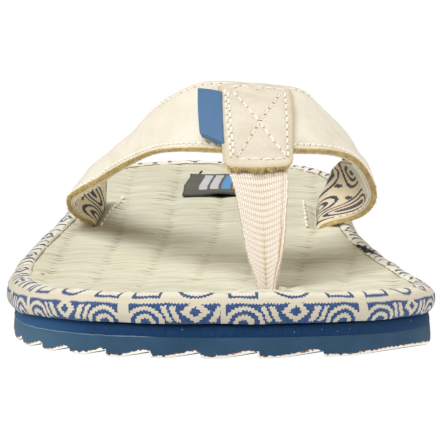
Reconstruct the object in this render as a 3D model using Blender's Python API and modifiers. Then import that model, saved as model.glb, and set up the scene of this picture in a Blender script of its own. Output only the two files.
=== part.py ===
"""Seagrass sandal for the right foot: toe towards -Y, big-toe side towards +X, standing on z = 0.

Every size below is in millimetres; MM turns it into Blender's metres where a mesh is made.
"""
import math

import bpy
import numpy as np

MM = 0.001
OBJECT_NAME = "seagrass_sandal"
GAP = 0.3                   # clearance between pieces that touch

# Sole, measured along the foot: y = -HALF_LENGTH at the toe, +HALF_LENGTH at the heel
HALF_LENGTH = 140.0
STATIONS = 38               # cross sections along the sole
TOE_SPRING = 4.8            # lift of the sole at the tip of the toe
TOE_BREAK = -66.0           # the sole leaves the floor in front of this y
TOE_CURVE = 1.5             # power of the toe's rise
ARCH_LIFT = 1.6
ARCH_FRONT, ARCH_REAR = -22.0, 60.0
HEEL_BEVEL = 1.4
HEEL_BREAK = 120.0
OUTSOLE_THICK = 4.1
MIDSOLE_THICK = 3.6         # at the ball of the foot
HEEL_RISE = 5.0             # extra midsole under the heel
RISE_FRONT, RISE_REAR = -75.0, 80.0
FOOTBED_THICK = 6.0

# Outline of the bound footbed, seen from above
SIDE_SHIFT = -1.65          # brings the middle of the outline's width to x = 0
OUTLINE = (
    # x, y
    (2.0, -140.0),          # tip of the toe
    (-24.0, -134.5),
    (-42.5, -114.0),        # little toe
    (-50.0, -80.0),         # ball, outer side
    (-47.3, -35.0),
    (-41.6, 15.0),          # waist, outer side
    (-38.7, 58.0),
    (-38.2, 102.0),         # heel, outer side
    (-26.0, 131.0),
    (-3.0, 140.0),          # back of the heel
    (20.5, 131.5),
    (33.8, 105.0),          # heel, inner side
    (35.8, 62.0),
    (36.6, 15.0),           # waist, inner side
    (41.6, -23.0),
    (50.8, -68.0),          # ball, inner side
    (53.4, -95.0),
    (44.5, -122.0),         # big toe
    (25.0, -136.0),
)

# Sole's side, as insets from that outline at heights counted as a share of each layer
OUTSOLE_SIDE = ((3.4, 0.0), (2.4, 0.25), (2.0, 1.0))
MIDSOLE_SIDE = ((2.1, 0.0), (1.7, 0.5), (2.0, 1.0))

# Tread: slanted grooves, each a ramp that ends in a step on its inner side
GROOVE_PITCH = 11.4
GROOVE_RAMP = 7.6
GROOVE_PHASE = 4.0          # distance of the middle groove from the sole's middle
GROOVE_DEPTH = 1.6
GROOVE_SLANT = math.radians(31.0)   # from the foot's own axis
GROOVE_STEP = 14.0                  # spacing of a groove's sections
GROOVE_REACH = 170.0                # half of a groove's length

# Canvas binding round the footbed's rolled edge
CANVAS_THICK = 1.1
ROLL_RADIUS = 2.6
ROLL_STEPS = 3
SEAM_INSET = 5.8

# Strap: a row for each section across the band, from the outer slot over the foot to the inner slot.
# Lifts are heights above the footbed.
STRAP_THICK = 2.4
STRAP_CROWN = 0.9           # bulge of the band between its two edges
CROWN_FADE = 15.0           # length over which the bulge grows from each slot
STRAP_STEPS = 4             # steps from one section of the band to the next
STRAP_ACROSS = 6
STRAP_ROOT = -5.4           # depth of the strap's ends in their slots
SLOT_DEPTH = 3.0            # how far a slot goes on below the strap's end
SLOT_STEPS = 7              # steps of the strap that its slot follows
STRAP_SECTIONS = (
    # front x, front y, front lift, rear x, rear y, rear lift
    (-31.1, 15.0, STRAP_ROOT, -28.5, 51.0, STRAP_ROOT),     # outer slot, bottom
    (-31.1, 15.0, 0.8, -28.5, 51.0, 0.8),                   # outer slot, mouth
    (-33.9, 12.0, 3.0, -28.8, 50.5, 5.0),
    (-36.7, 5.0, 7.2, -29.8, 45.0, 9.4),                    # widest bulge, outer side
    (-34.6, -4.0, 11.8, -30.9, 30.0, 13.6),
    (-29.6, -12.0, 15.9, -27.7, 10.0, 19.8),
    (-20.5, -31.0, 24.0, -20.5, -13.0, 30.1),
    (-8.1, -57.0, 30.5, -8.9, -37.0, 41.5),
    (10.6, -68.0, 31.4, 10.0, -43.5, 44.4),                 # middle of the tab
    (24.7, -60.0, 30.5, 23.3, -36.0, 40.3),
    (35.3, -39.0, 24.7, 32.4, -13.0, 27.5),
    (39.5, -11.0, 13.7, 35.0, 18.0, 17.5),
    (38.9, 0.0, 7.8, 33.2, 37.0, 11.6),                     # widest bulge, inner side
    (33.6, 7.0, 3.6, 29.9, 45.5, 5.2),
    (26.7, 10.0, 0.8, 26.7, 48.0, 0.8),                     # inner slot, mouth
    (26.7, 10.0, STRAP_ROOT, 26.7, 48.0, STRAP_ROOT),       # inner slot, bottom
)
TAB_SECTION = 8             # the section that the tab is centred on

# Tab on the band's middle; shares are of the band's width, below 0 in front of it
TAB_THICK = 1.8
TAB_HALF_WIDTH = 7.9
TAB_FRONT, TAB_REAR = -0.35, 0.88
TAB_CORNER = 3.5
TAB_ACROSS, TAB_ALONG = 6, 12

# Tag caught under the tab's outer edge, standing off the band
TAG_THICK = 2.0
TAG_WIDTH = 4.5
TAG_FRONT, TAG_REAR = 0.05, 0.80
TAG_STANDOFF = 1.0
TAG_ACROSS, TAG_ALONG = 2, 5

# Toe post: a row for each section of the folded webbing, from its hole up to the tab
POST_THICK = 2.0
POST_ACROSS, POST_ALONG = 8, 22
POST_BASE_Y = -105.5
POST_ROOT = -5.2
POST_SECTIONS = (
    # x, y, lift above the footbed, half width, depth of the fold
    (12.5, POST_BASE_Y, POST_ROOT, 2.4, 3.4),
    (12.5, POST_BASE_Y, 0.4, 2.4, 3.4),
    (12.3, -98.5, 6.0, 3.0, 3.2),
    (11.9, -88.5, 15.2, 4.4, 2.6),
    (11.3, -79.5, 23.6, 6.0, 1.6),
)
POST_TOP_HALF_WIDTH = 6.9
POST_TUCK = 0.7                     # how far the post lies below the band's outer face
POST_TOP_SHARES = (-0.30, -0.03)    # stretch under the tab, in shares of the band's width

# Woven label on the heel
LABEL_X = (-7.5, 14.0)
LABEL_Y = (62.0, 106.0)
LABEL_THICK = 0.8
LABEL_STEPS = 6

# Finishes: colour, roughness
FINISHES = {
    "outsole": ((0.075, 0.130, 0.210), 0.75),
    "midsole": ((0.016, 0.068, 0.215), 0.60),
    "footbed": ((0.650, 0.590, 0.430), 0.85),
    "edge_binding": ((0.700, 0.640, 0.500), 0.90),
    "strap": ((0.800, 0.700, 0.510), 0.80),
    "strap_tab": ((0.780, 0.680, 0.490), 0.80),
    "toe_post": ((0.850, 0.740, 0.590), 0.85),
    "side_tag": ((0.060, 0.140, 0.330), 0.55),
    "heel_label": ((0.060, 0.060, 0.065), 0.90),
}


def clear_scene():
    for item in list(bpy.data.objects):
        bpy.data.objects.remove(item, do_unlink=True)


def new_collection(name):
    group = bpy.data.collections.new(name)
    bpy.context.scene.collection.children.link(group)
    return group


def finish_material(name):
    colour, roughness = FINISHES[name]
    material = bpy.data.materials.new(name)
    material.use_nodes = True
    shader = material.node_tree.nodes["Principled BSDF"]
    shader.inputs["Base Color"].default_value = (*colour, 1.0)
    shader.inputs["Roughness"].default_value = roughness
    shader.inputs["Metallic"].default_value = 0.0
    return material


def add_mesh(name, points, faces, group):
    """A new object from points in millimetres, with the outline's middle moved to x = 0."""
    mesh = bpy.data.meshes.new(name)
    centred = np.asarray(points) + (SIDE_SHIFT, 0.0, 0.0)
    mesh.from_pydata((centred * MM).tolist(), [], faces)
    mesh.shade_smooth()
    mesh.set_sharp_from_angle(angle=math.radians(40.0))
    piece = bpy.data.objects.new(name, mesh)
    group.objects.link(piece)
    return piece


def add_piece(name, points, faces, group):
    piece = add_mesh(name, points, faces, group)
    piece.data.materials.append(finish_material(name))
    return piece


def thicken(piece, thickness):
    shell = piece.modifiers.new("wall", "SOLIDIFY")
    shell.thickness = thickness * MM
    shell.offset = 0.0
    shell.use_even_offset = True


def cut(piece, cutter):
    cutter.hide_render = True
    cutter.display_type = "WIRE"
    cut_out = piece.modifiers.new("cut", "BOOLEAN")
    cut_out.operation = "DIFFERENCE"
    cut_out.solver = "EXACT"
    cut_out.object = cutter


# Curves through table rows

def spline(keys, rows, at):
    """Natural cubic curve through the rows of a table, read at the keys in `at`."""
    keys, rows, at = np.asarray(keys, float), np.asarray(rows, float), np.asarray(at, float)
    spans = np.diff(keys)
    slopes = np.diff(rows, axis=0) / spans[:, None]
    system = np.eye(len(keys))
    target = np.zeros_like(rows)
    for i in range(1, len(keys) - 1):
        system[i, i - 1:i + 2] = spans[i - 1], 2.0 * (spans[i - 1] + spans[i]), spans[i]
        target[i] = 6.0 * (slopes[i] - slopes[i - 1])
    bends = np.linalg.solve(system, target)
    i = np.clip(np.searchsorted(keys, at) - 1, 0, len(spans) - 1)
    span = spans[i][:, None]
    done = (at - keys[i])[:, None]
    left = span - done
    curved = (bends[i] * left ** 3 + bends[i + 1] * done ** 3) / (6.0 * span)
    start = (rows[i] / span - bends[i] * span / 6.0) * left
    end = (rows[i + 1] / span - bends[i + 1] * span / 6.0) * done
    return curved + start + end


def chord_keys(points):
    """Running length along a row of points."""
    steps = np.linalg.norm(np.diff(points, axis=0), axis=1)
    return np.concatenate([[0.0], np.cumsum(steps)])


def smooth_step(value):
    value = np.clip(value, 0.0, 1.0)
    return value * value * (3.0 - 2.0 * value)


# Heights along the sole

def toe_lift(y):
    share = np.clip((TOE_BREAK - y) / (TOE_BREAK + HALF_LENGTH), 0.0, None)
    return TOE_SPRING * share ** TOE_CURVE


def ground(y):
    """Underside of the outsole: flat at ball and heel, lifted at toe, arch and heel edge."""
    along = np.clip((y - ARCH_FRONT) / (ARCH_REAR - ARCH_FRONT), 0.0, 1.0)
    arch = ARCH_LIFT * np.sin(math.pi * along) ** 2
    share = np.clip((y - HEEL_BREAK) / (HALF_LENGTH - HEEL_BREAK), 0.0, None)
    return toe_lift(y) + arch + HEEL_BEVEL * share ** 2


def midsole_top(y):
    rise = HEEL_RISE * smooth_step((y - RISE_FRONT) / (RISE_REAR - RISE_FRONT))
    return toe_lift(y) + OUTSOLE_THICK + GAP + MIDSOLE_THICK + rise


def footbed_bottom(y):
    return midsole_top(y) + GAP


def footbed_top(y):
    return footbed_bottom(y) + FOOTBED_THICK


# Outline from above

def outline_curve():
    """Dense closed outline, from the tip of the toe along the outer side and back."""
    wrap = 3
    points = np.array(OUTLINE + OUTLINE[:1])
    padded = np.vstack([points[-1 - wrap:-1], points, points[1:1 + wrap]])
    keys = chord_keys(padded)
    return spline(keys, padded, np.linspace(keys[wrap], keys[-1 - wrap], 1201)[:-1])


def outline_ring():
    """Ring of points at shared stations: inner side from toe to heel, then outer side back."""
    curve = outline_curve()
    toe, heel = curve[:, 1].argmin(), curve[:, 1].argmax()
    curve = np.roll(curve, -toe, axis=0)
    heel = (heel - toe) % len(curve)
    outer = curve[:heel + 1]
    inner = np.vstack([curve[heel:], curve[:1]])[::-1]
    angles = math.pi * np.arange(STATIONS + 1) / STATIONS
    first, last = curve[0, 1], curve[heel, 1]
    ys = first + (last - first) * (1.0 - np.cos(angles)) / 2.0
    outer_x = np.interp(ys, outer[:, 1], outer[:, 0])
    inner_x = np.interp(ys, inner[:, 1], inner[:, 0])
    inner_side = np.column_stack([inner_x, ys])
    outer_side = np.column_stack([outer_x, ys])[-2:0:-1]
    return np.vstack([inner_side, outer_side])


def inset_ring(ring, distance):
    """The ring moved inwards, square to its own line."""
    along = np.roll(ring, -1, axis=0) - np.roll(ring, 1, axis=0)
    along /= np.linalg.norm(along, axis=1)[:, None]
    inwards = np.column_stack([-along[:, 1], along[:, 0]])
    return ring + inwards * distance


def stack_faces(rings, size):
    """Side walls between stacked rings, and caps made of strips from side to side."""
    faces = []
    for level in range(rings - 1):
        for i in range(size):
            j = (i + 1) % size
            low, high = level * size, (level + 1) * size
            faces.append((low + i, low + j, high + j, high + i))
    top = (rings - 1) * size
    for i in range(size // 2):
        strip = [i, (size - i) % size, size - i - 1, i + 1]
        corners = list(dict.fromkeys(strip))
        faces.append(tuple(corners))
        faces.append(tuple(top + corner for corner in reversed(corners)))
    return faces


def layer(name, ring, side, bottom, top, group):
    """One layer of the sole, from its side's insets and its two faces."""
    rings = []
    for inset, share in side:
        moved = inset_ring(ring, inset)
        low, high = bottom(moved[:, 1]), top(moved[:, 1])
        rings.append(np.column_stack([moved, low + share * (high - low)]))
    faces = stack_faces(len(rings), len(ring))
    return add_piece(name, np.vstack(rings), faces, group)


# Sole and footbed

def groove_cutter(group):
    """All the tread's grooves: slanted wedges that follow the sole's underside."""
    axis = np.array([math.sin(GROOVE_SLANT), math.cos(GROOVE_SLANT)])
    across = np.array([axis[1], -axis[0]])
    reach = np.arange(-GROOVE_REACH, GROOVE_REACH + 1.0, GROOVE_STEP)
    below = 3.0
    wedge = ((0.0, -below), (0.0, 0.0), (GROOVE_RAMP, GROOVE_DEPTH), (GROOVE_RAMP, -below))
    count = int(HALF_LENGTH / GROOVE_PITCH)
    points, faces = [], []
    for groove in range(-count, count + 1):
        first = len(points)
        middle = across * (GROOVE_PHASE + groove * GROOVE_PITCH)
        for step in reach:
            for offset, height in wedge:
                x, y = middle + across * offset + axis * step
                points.append((x, y, ground(np.clip(y, -HALF_LENGTH, HALF_LENGTH)) + height))
        size = len(wedge)
        for i in range(len(reach) - 1):
            for k in range(size):
                a, b = first + i * size + k, first + i * size + (k + 1) % size
                faces.append((a, b, b + size, a + size))
        last = first + (len(reach) - 1) * size
        faces.append(tuple(first + k for k in reversed(range(size))))
        faces.append(tuple(last + k for k in range(size)))
    return add_mesh("tread_grooves", points, faces, group)


def rolled_edge(radius, clip=False):
    """Side section of the footbed's rolled edge: (inset, anchor, height), bottom to top.

    Heights count from the footbed's underside (anchor 0) or top (anchor 1). With clip the lower
    roll stops where it meets the underside.
    """
    centre = CANVAS_THICK + GAP + ROLL_RADIUS
    first = math.asin(min(1.0, ROLL_RADIUS / radius)) if clip else math.pi / 2.0
    section = []
    for step in range(ROLL_STEPS + 1):
        angle = first * (1.0 - step / ROLL_STEPS)
        section.append((centre - radius * math.cos(angle), 0.0, ROLL_RADIUS - radius * math.sin(angle)))
    for step in range(ROLL_STEPS + 1):
        angle = math.pi / 2.0 * step / ROLL_STEPS
        section.append((centre - radius * math.cos(angle), 1.0, radius * math.sin(angle) - ROLL_RADIUS))
    return section


def edge_rings(ring, section):
    rings = []
    for inset, anchor, height in section:
        moved = inset_ring(ring, inset)
        base = footbed_bottom(moved[:, 1]) + anchor * FOOTBED_THICK
        rings.append(np.column_stack([moved, base + height]))
    return rings


def footbed(ring, group):
    rings = edge_rings(ring, rolled_edge(ROLL_RADIUS))
    return add_piece("footbed", np.vstack(rings), stack_faces(len(rings), len(ring)), group)


def edge_binding(ring, group):
    """Canvas wrapped round the footbed's edge, from the seam on top down to the midsole."""
    inside = rolled_edge(ROLL_RADIUS + GAP, clip=True)
    outside = rolled_edge(ROLL_RADIUS + GAP + CANVAS_THICK, clip=True)
    seam_low = (SEAM_INSET, 1.0, GAP)
    seam_high = (SEAM_INSET, 1.0, GAP + CANVAS_THICK)
    section = outside + [seam_high, seam_low] + inside[::-1]
    rings = edge_rings(ring, section)
    size, count = len(ring), len(rings)
    faces = []
    for level in range(count):
        low, high = level * size, (level + 1) % count * size
        for i in range(size):
            j = (i + 1) % size
            faces.append((low + i, low + j, high + j, high + i))
    return add_piece("edge_binding", np.vstack(rings), faces, group)


# Strap and what hangs on it

def strap_rows():
    rows = np.array(STRAP_SECTIONS)
    rows[:, 2] += footbed_top(rows[:, 1])
    rows[:, 5] += footbed_top(rows[:, 4])
    return rows


def strap_keys():
    rows = strap_rows()
    return chord_keys((rows[:, :3] + rows[:, 3:]) / 2.0)


def strap_point(along, share):
    """Middle of the band's wall: along its length in mm, and by share of its width."""
    along, share = np.atleast_1d(along).astype(float), np.atleast_1d(share).astype(float)
    edges = spline(strap_keys(), strap_rows(), along)
    front, rear = edges[:, :3], edges[:, 3:]
    return front + (rear - front) * share[:, None]


def strap_normal(along, share):
    step = 0.2
    ahead = strap_point(along + step, share) - strap_point(along - step, share)
    aside = strap_point(along, share + 0.01) - strap_point(along, share - 0.01)
    normal = np.cross(ahead, aside)
    return normal / np.linalg.norm(normal, axis=1)[:, None]


def strap_surface(along, share, offset=0.0):
    """Point on the band or above it; the band's middle bulges a little outwards."""
    along, share = np.broadcast_arrays(np.asarray(along, float), np.asarray(share, float))
    inside = np.clip(share, 0.0, 1.0)
    keys = strap_keys()
    free = smooth_step((along - keys[1]) / CROWN_FADE) * smooth_step((keys[-2] - along) / CROWN_FADE)
    bulge = STRAP_CROWN * 4.0 * inside * (1.0 - inside) * free
    return strap_point(along, share) + strap_normal(along, share) * (bulge + offset)[:, None]


def grid_faces(rows, columns):
    faces = []
    for i in range(rows - 1):
        for j in range(columns - 1):
            corner = i * columns + j
            faces.append((corner, corner + columns, corner + columns + 1, corner + 1))
    return faces


def strap_sheet(alongs, shares):
    along, share = np.meshgrid(alongs, shares, indexing="ij")
    return strap_surface(along.ravel(), share.ravel()), grid_faces(len(alongs), len(shares))


def strap_alongs():
    """Lengths along the band where its sheet has a row of points."""
    keys = strap_keys()
    steps = np.arange(len(keys) * STRAP_STEPS - STRAP_STEPS + 1) / STRAP_STEPS
    return np.interp(steps, np.arange(len(keys)), keys)


def strap(group):
    points, faces = strap_sheet(strap_alongs(), np.linspace(0.0, 1.0, STRAP_ACROSS + 1))
    piece = add_piece("strap", points, faces, group)
    thicken(piece, STRAP_THICK)
    return piece


def slot_cutter(name, from_end, group):
    """Clearance round one end of the strap, made from the strap's own sheet, through the footbed."""
    alongs = strap_alongs()
    end, reach, deeper = alongs[0], alongs[:SLOT_STEPS + 1], -SLOT_DEPTH
    if from_end:
        end, reach, deeper = alongs[-1], alongs[:-SLOT_STEPS - 2:-1], SLOT_DEPTH
    reach = np.concatenate([[end + deeper], reach])
    spare = GAP / band_width(end)
    points, faces = strap_sheet(reach, np.linspace(-spare, 1.0 + spare, STRAP_ACROSS + 1))
    cutter = add_mesh(name, points, faces, group)
    thicken(cutter, STRAP_THICK + 2.0 * GAP)
    return cutter


def tab_middle():
    return strap_keys()[TAB_SECTION]


def tab_stretch():
    """Length along the band that spans one millimetre of the tab's width."""
    middle = tab_middle()
    ends = strap_point(np.array([middle - 1.0, middle + 1.0]), np.array([0.5, 0.5]))
    return 2.0 / np.linalg.norm(ends[1] - ends[0])


def band_width(along):
    edges = strap_point(np.array([along, along]), np.array([0.0, 1.0]))
    return np.linalg.norm(edges[1] - edges[0])


def strap_tab(group):
    """Tab that lies on the band and reaches past its front edge, with rounded front corners."""
    middle = tab_middle()
    width = band_width(middle)
    corner_shares = TAB_FRONT + np.array([0.0, 0.15, 0.5, 1.0]) * TAB_CORNER / width
    shares = np.concatenate([corner_shares, np.linspace(corner_shares[-1], TAB_REAR, TAB_ALONG)[1:]])
    sides = np.linspace(-1.0, 1.0, TAB_ACROSS + 1)
    points = []
    lift = STRAP_THICK / 2.0 + GAP + TAB_THICK / 2.0
    for share in shares:
        left = np.clip(1.0 - (share - TAB_FRONT) * width / TAB_CORNER, 0.0, 1.0)
        half = TAB_HALF_WIDTH - TAB_CORNER * (1.0 - math.sqrt(1.0 - left ** 2))
        along = middle + sides * half * tab_stretch()
        points.append(strap_surface(along, np.full(len(sides), share), lift))
    piece = add_piece("strap_tab", np.vstack(points), grid_faces(len(shares), len(sides)), group)
    thicken(piece, TAB_THICK)
    return piece


def side_tag(group):
    """Slab beside the tab's outer edge, rising from the band to its free edge."""
    stretch = tab_stretch()
    hinge = tab_middle() - (TAB_HALF_WIDTH + GAP) * stretch
    shares = np.linspace(TAG_FRONT, TAG_REAR, TAG_ALONG + 1)
    points = []
    for step in range(TAG_ACROSS + 1):
        out = step / TAG_ACROSS
        lift = STRAP_THICK / 2.0 + GAP + TAG_THICK / 2.0 + TAG_STANDOFF * out
        along = np.full(len(shares), hinge - out * TAG_WIDTH * stretch)
        points.append(strap_surface(along, shares, lift))
    piece = add_piece("side_tag", np.vstack(points), grid_faces(TAG_ACROSS + 1, len(shares)), group)
    thicken(piece, TAG_THICK)
    return piece


# Toe post

def post_rows():
    """Table of the post's sections with real heights, ended by its stretch under the arched tab."""
    rows = np.array(POST_SECTIONS)
    rows[:, 2] += footbed_top(rows[:, 1])
    shares = np.array(POST_TOP_SHARES)
    middle = np.full(len(shares), tab_middle())
    reach = POST_TOP_HALF_WIDTH * tab_stretch()
    flush = (STRAP_THICK - POST_THICK) / 2.0 - POST_TUCK
    centre = strap_surface(middle, shares, flush)
    edges = (strap_surface(middle - reach, shares, flush) + strap_surface(middle + reach, shares, flush)) / 2.0
    normal = strap_normal(middle, shares)
    sag = np.sum((centre - edges) * normal, axis=1)
    widths = np.full(len(shares), POST_TOP_HALF_WIDTH)
    top = np.column_stack([centre - normal * sag[:, None], widths, -sag])
    return np.vstack([rows, top])


def toe_post(group):
    """Folded webbing: its middle lies behind its edges by the depth of the fold."""
    rows = post_rows()
    keys = chord_keys(rows[:, :3])
    line = spline(keys, rows, np.linspace(keys[0], keys[-1], POST_ALONG + 1))
    ahead = np.gradient(line[:, :3], axis=0)
    ahead /= np.linalg.norm(ahead, axis=1)[:, None]
    side = np.tile((1.0, 0.0, 0.0), (len(line), 1))
    side -= ahead * np.sum(side * ahead, axis=1)[:, None]
    side /= np.linalg.norm(side, axis=1)[:, None]
    face = np.cross(side, ahead)
    points = []
    for share in np.linspace(-1.0, 1.0, POST_ACROSS + 1):
        spread = side * (line[:, 3] * math.sin(share * math.pi / 2.0))[:, None]
        fold = face * (line[:, 4] * (share ** 2 - 1.0))[:, None]
        points.append(line[:, :3] + spread + fold)
    piece = add_piece("toe_post", np.vstack(points), grid_faces(POST_ACROSS + 1, len(line)), group)
    thicken(piece, POST_THICK)
    return piece


def heel_label(group):
    xs = np.linspace(*LABEL_X, 3)
    ys = np.linspace(*LABEL_Y, LABEL_STEPS + 1)
    x, y = (axis.ravel() for axis in np.meshgrid(xs, ys, indexing="ij"))
    z = footbed_top(y) + GAP + LABEL_THICK / 2.0
    piece = add_piece("heel_label", np.column_stack([x, y, z]), grid_faces(len(xs), len(ys)), group)
    thicken(piece, LABEL_THICK)
    return piece


def post_hole_cutter(group):
    """Round-ended hole for the webbing's folded end."""
    x, y = POST_SECTIONS[0][:2]
    half_width, fold = POST_SECTIONS[0][3:]
    reach = FOOTBED_THICK + 8.0
    z = footbed_bottom(y) + FOOTBED_THICK / 2.0
    bpy.ops.mesh.primitive_cylinder_add(vertices=24, radius=MM, depth=reach * MM,
                                        location=((x + SIDE_SHIFT) * MM, y * MM, z * MM))
    cutter = bpy.context.object
    cutter.name = "post_hole"
    cutter.scale = (half_width + POST_THICK + 2.0 * GAP, fold + POST_THICK, 1.0)
    for home in list(cutter.users_collection):
        home.objects.unlink(cutter)
    group.objects.link(cutter)
    return cutter


def main():
    clear_scene()
    parts = new_collection(OBJECT_NAME)
    cutters = new_collection("cutters")
    ring = outline_ring()

    outsole = layer("outsole", ring, OUTSOLE_SIDE, ground, lambda y: ground(y) + OUTSOLE_THICK, parts)
    cut(outsole, groove_cutter(cutters))
    layer("midsole", ring, MIDSOLE_SIDE, lambda y: ground(y) + OUTSOLE_THICK + GAP, midsole_top, parts)
    bed = footbed(ring, parts)
    cut(bed, slot_cutter("outer_slot", False, cutters))
    cut(bed, slot_cutter("inner_slot", True, cutters))
    cut(bed, post_hole_cutter(cutters))
    edge_binding(ring, parts)
    strap(parts)
    strap_tab(parts)
    side_tag(parts)
    toe_post(parts)
    heel_label(parts)


main()
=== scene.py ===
"""Looks of a seagrass sandal for the right foot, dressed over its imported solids.

Sizes are in millimetres; MM turns them into metres where a mesh is made. Most repeat those of the solids,
and some depart from them a little to follow the photo.
The toe points to -Y, the big-toe side to +X, and the sandal stands on z = 0.
"""

import math

import bpy
import numpy as np
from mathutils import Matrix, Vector


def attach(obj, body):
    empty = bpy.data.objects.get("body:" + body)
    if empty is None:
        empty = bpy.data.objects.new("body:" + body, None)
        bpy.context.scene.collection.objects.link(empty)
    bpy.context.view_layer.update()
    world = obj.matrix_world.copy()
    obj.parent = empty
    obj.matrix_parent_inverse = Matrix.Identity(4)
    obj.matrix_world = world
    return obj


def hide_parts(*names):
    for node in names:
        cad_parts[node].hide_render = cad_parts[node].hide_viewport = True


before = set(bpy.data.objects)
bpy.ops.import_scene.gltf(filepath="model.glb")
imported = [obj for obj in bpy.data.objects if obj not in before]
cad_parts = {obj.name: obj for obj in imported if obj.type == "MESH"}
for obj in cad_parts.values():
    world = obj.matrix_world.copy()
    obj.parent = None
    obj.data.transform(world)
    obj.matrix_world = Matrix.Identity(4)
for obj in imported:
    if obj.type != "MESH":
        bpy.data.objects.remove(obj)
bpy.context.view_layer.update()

MM = 0.001
GAP = 0.3                   # clearance between pieces that touch
SIDE_SHIFT = -1.65          # brings the middle of the outline's width to x = 0
SHIFT = (SIDE_SHIFT, 0.0, 0.0)
UPRIGHT = (0.0, 0.0, 1.0)

# Fineness of the meshes
OUTLINE_STEPS, BINDING_STEPS, SEAM_STEPS = 2400, 640, 900
STRAP_GRID, LINING_GRID = (400, 40), (240, 30)     # steps along the band and across it
ROW_STEPS, SHORT_ROW_STEPS = 160, 60        # points of a stitch row
TAB_HAIRS, BAND_HAIRS = 700, 1800
SLAB_CREASE = 50.0          # a closed sheet is rounded where its faces meet at more than this angle
# Edges are shaded sharp where faces meet at more than these angles
TREAD_CREASE, MIDSOLE_CREASE, MAT_CREASE, TUBE_CREASE = 30.0, 60.0, 70.0, 60.0

# Camera: it looks along the foot from in front of the toe
CAMERA_AIM = (-0.35, 0.0, 20.85)
CAMERA_DISTANCE = 1800.0
CAMERA_TILT = math.radians(6.95)
CAMERA_LENS = 576.5

# Light: places in metres
WORLD_TONE, WORLD_STRENGTH = (1.0, 0.76, 0.36, 1.0), 0.10
LIGHTS = (
    # name, place, aim, size, power, colour
    ("key", (-1.1, -1.5, 3.05), (0.0, -0.02, 0.02), 2.8, 149.0, (1.0, 1.0, 1.0)),
    ("right_fill", (1.3, -0.3, 0.35), (0.0, 0.0, 0.03), 0.7, 10.0, (1.0, 0.96, 0.86)),
    ("left_fill", (-1.3, -0.75, 0.14), (0.0, -0.05, 0.02), 0.3, 6.0, (1.0, 0.90, 0.70)),
)
FLOOR_HALF = 3.0

# Sole
HALF_LENGTH = 140.0
STATIONS = 170
TOE_SPRING = 4.8
TOE_BREAK, TOE_CURVE = -66.0, 1.5           # upturn of the footbed's top
SOLE_BREAK, SOLE_CURVE = -40.0, 1.12        # upturn of the layers under it
ARCH_LIFT, ARCH_FRONT, ARCH_REAR = 1.6, -22.0, 60.0
HEEL_BEVEL, HEEL_BREAK = 1.4, 120.0
OUTSOLE_THICK = 5.0
MIDSOLE_THICK = 2.7
JOINT_GAP = 0.05            # between outsole and midsole
HEEL_RISE, RISE_FRONT, RISE_REAR = 5.0, -75.0, 80.0
FOOTBED_THICK = 6.0
OUTLINE = (
    # x, y
    (2.0, -140.0),          # tip of the toe
    (-24.0, -134.5),
    (-42.5, -114.0),        # little toe
    (-50.0, -80.0),         # ball, outer side
    (-49.2, -35.0),
    (-42.2, 15.0),          # waist, outer side
    (-38.0, 58.0),
    (-36.2, 102.0),         # heel, outer side
    (-25.2, 131.0),
    (-3.0, 140.0),          # back of the heel
    (20.5, 131.5),
    (33.8, 105.0),          # heel, inner side
    (35.8, 62.0),
    (36.6, 15.0),           # waist, inner side
    (41.6, -23.0),
    (50.8, -68.0),          # ball, inner side
    (53.4, -95.0),
    (44.5, -122.0),         # big toe
    (25.0, -136.0),
)
OUTSOLE_SIDE = ((1.8, 0.0), (1.3, 0.06), (1.1, 0.2), (1.1, 0.45), (1.2, 0.7), (1.3, 0.95), (1.4, 1.0))
MIDSOLE_SIDE = ((1.4, 0.0), (1.35, 0.06), (1.35, 0.3), (1.5, 0.6), (1.8, 0.94), (2.1, 1.0))
GROOVE_PITCH, GROOVE_RAMP, GROOVE_PHASE, GROOVE_DEPTH = 11.4, 7.6, 4.0, 1.6
GROOVE_SLANT = math.radians(31.0)
GROOVE_STEP, GROOVE_REACH = 7.0, 170.0
EDGE_LINE_DEPTH = 2.8            # brown dirt and a pale line, painted reflection of the white floor, show along the tread's edge this close to the outline
FACING_DOWN = -0.94         # upward part of a face's normal, below which the face belongs to the underside
OUT_OF_REACH = 4.0          # height given to faces without the edge line
GLUE_INSETS = (1.3, 2.3)    # the glue line shows at the first, and is hidden at the second
PAINTED_LIGHT_SIDE = (-50.0, -26.0)         # painted light: the sole's outer side is painted lighter, as light from the left falls on it, fully at the first x and not at the second

# Canvas binding round the footbed's rolled edge
CANVAS_THICK = 1.1
ROLL_RADIUS = 2.6
SEAM_INSET = 5.0
FOLD_PLACE = (38.5, -27.7)  # deep crease in the binding in front of the inner slot
FOLD_HALF_LENGTH, FOLD_HALF_WIDTH, FOLD_DEPTH = 9.0, 1.2, 0.6
TOE_PRINT = 62.0            # reach of the toe's own print along the edge
PUFFED_CORNER = (-48.0, -88.0)      # the canvas is fuller round the little toe
PUFF, PUFF_REACH = 0.7, 30.0
FOLD_COURSE = (-0.42, 1.0)
FOLD_LIP = 0.3              # swell beside the deep crease
CREASE_LEVEL = -6           # level of the binding's section on top of the roll
CREASE_SHADE_OVAL = (10.35, 1.25, 0.136)  # half length, half width and slant of the painted shade, a dark oval, inside the deep crease
RIPPLES, PUCKERS = (0.13, 0.06), 0.24
CANVAS_WALL = 0.7           # what is drawn of the canvas's thickness
PRINT_STEP = 0.42           # pitch of the threads that the print's edges step along

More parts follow.
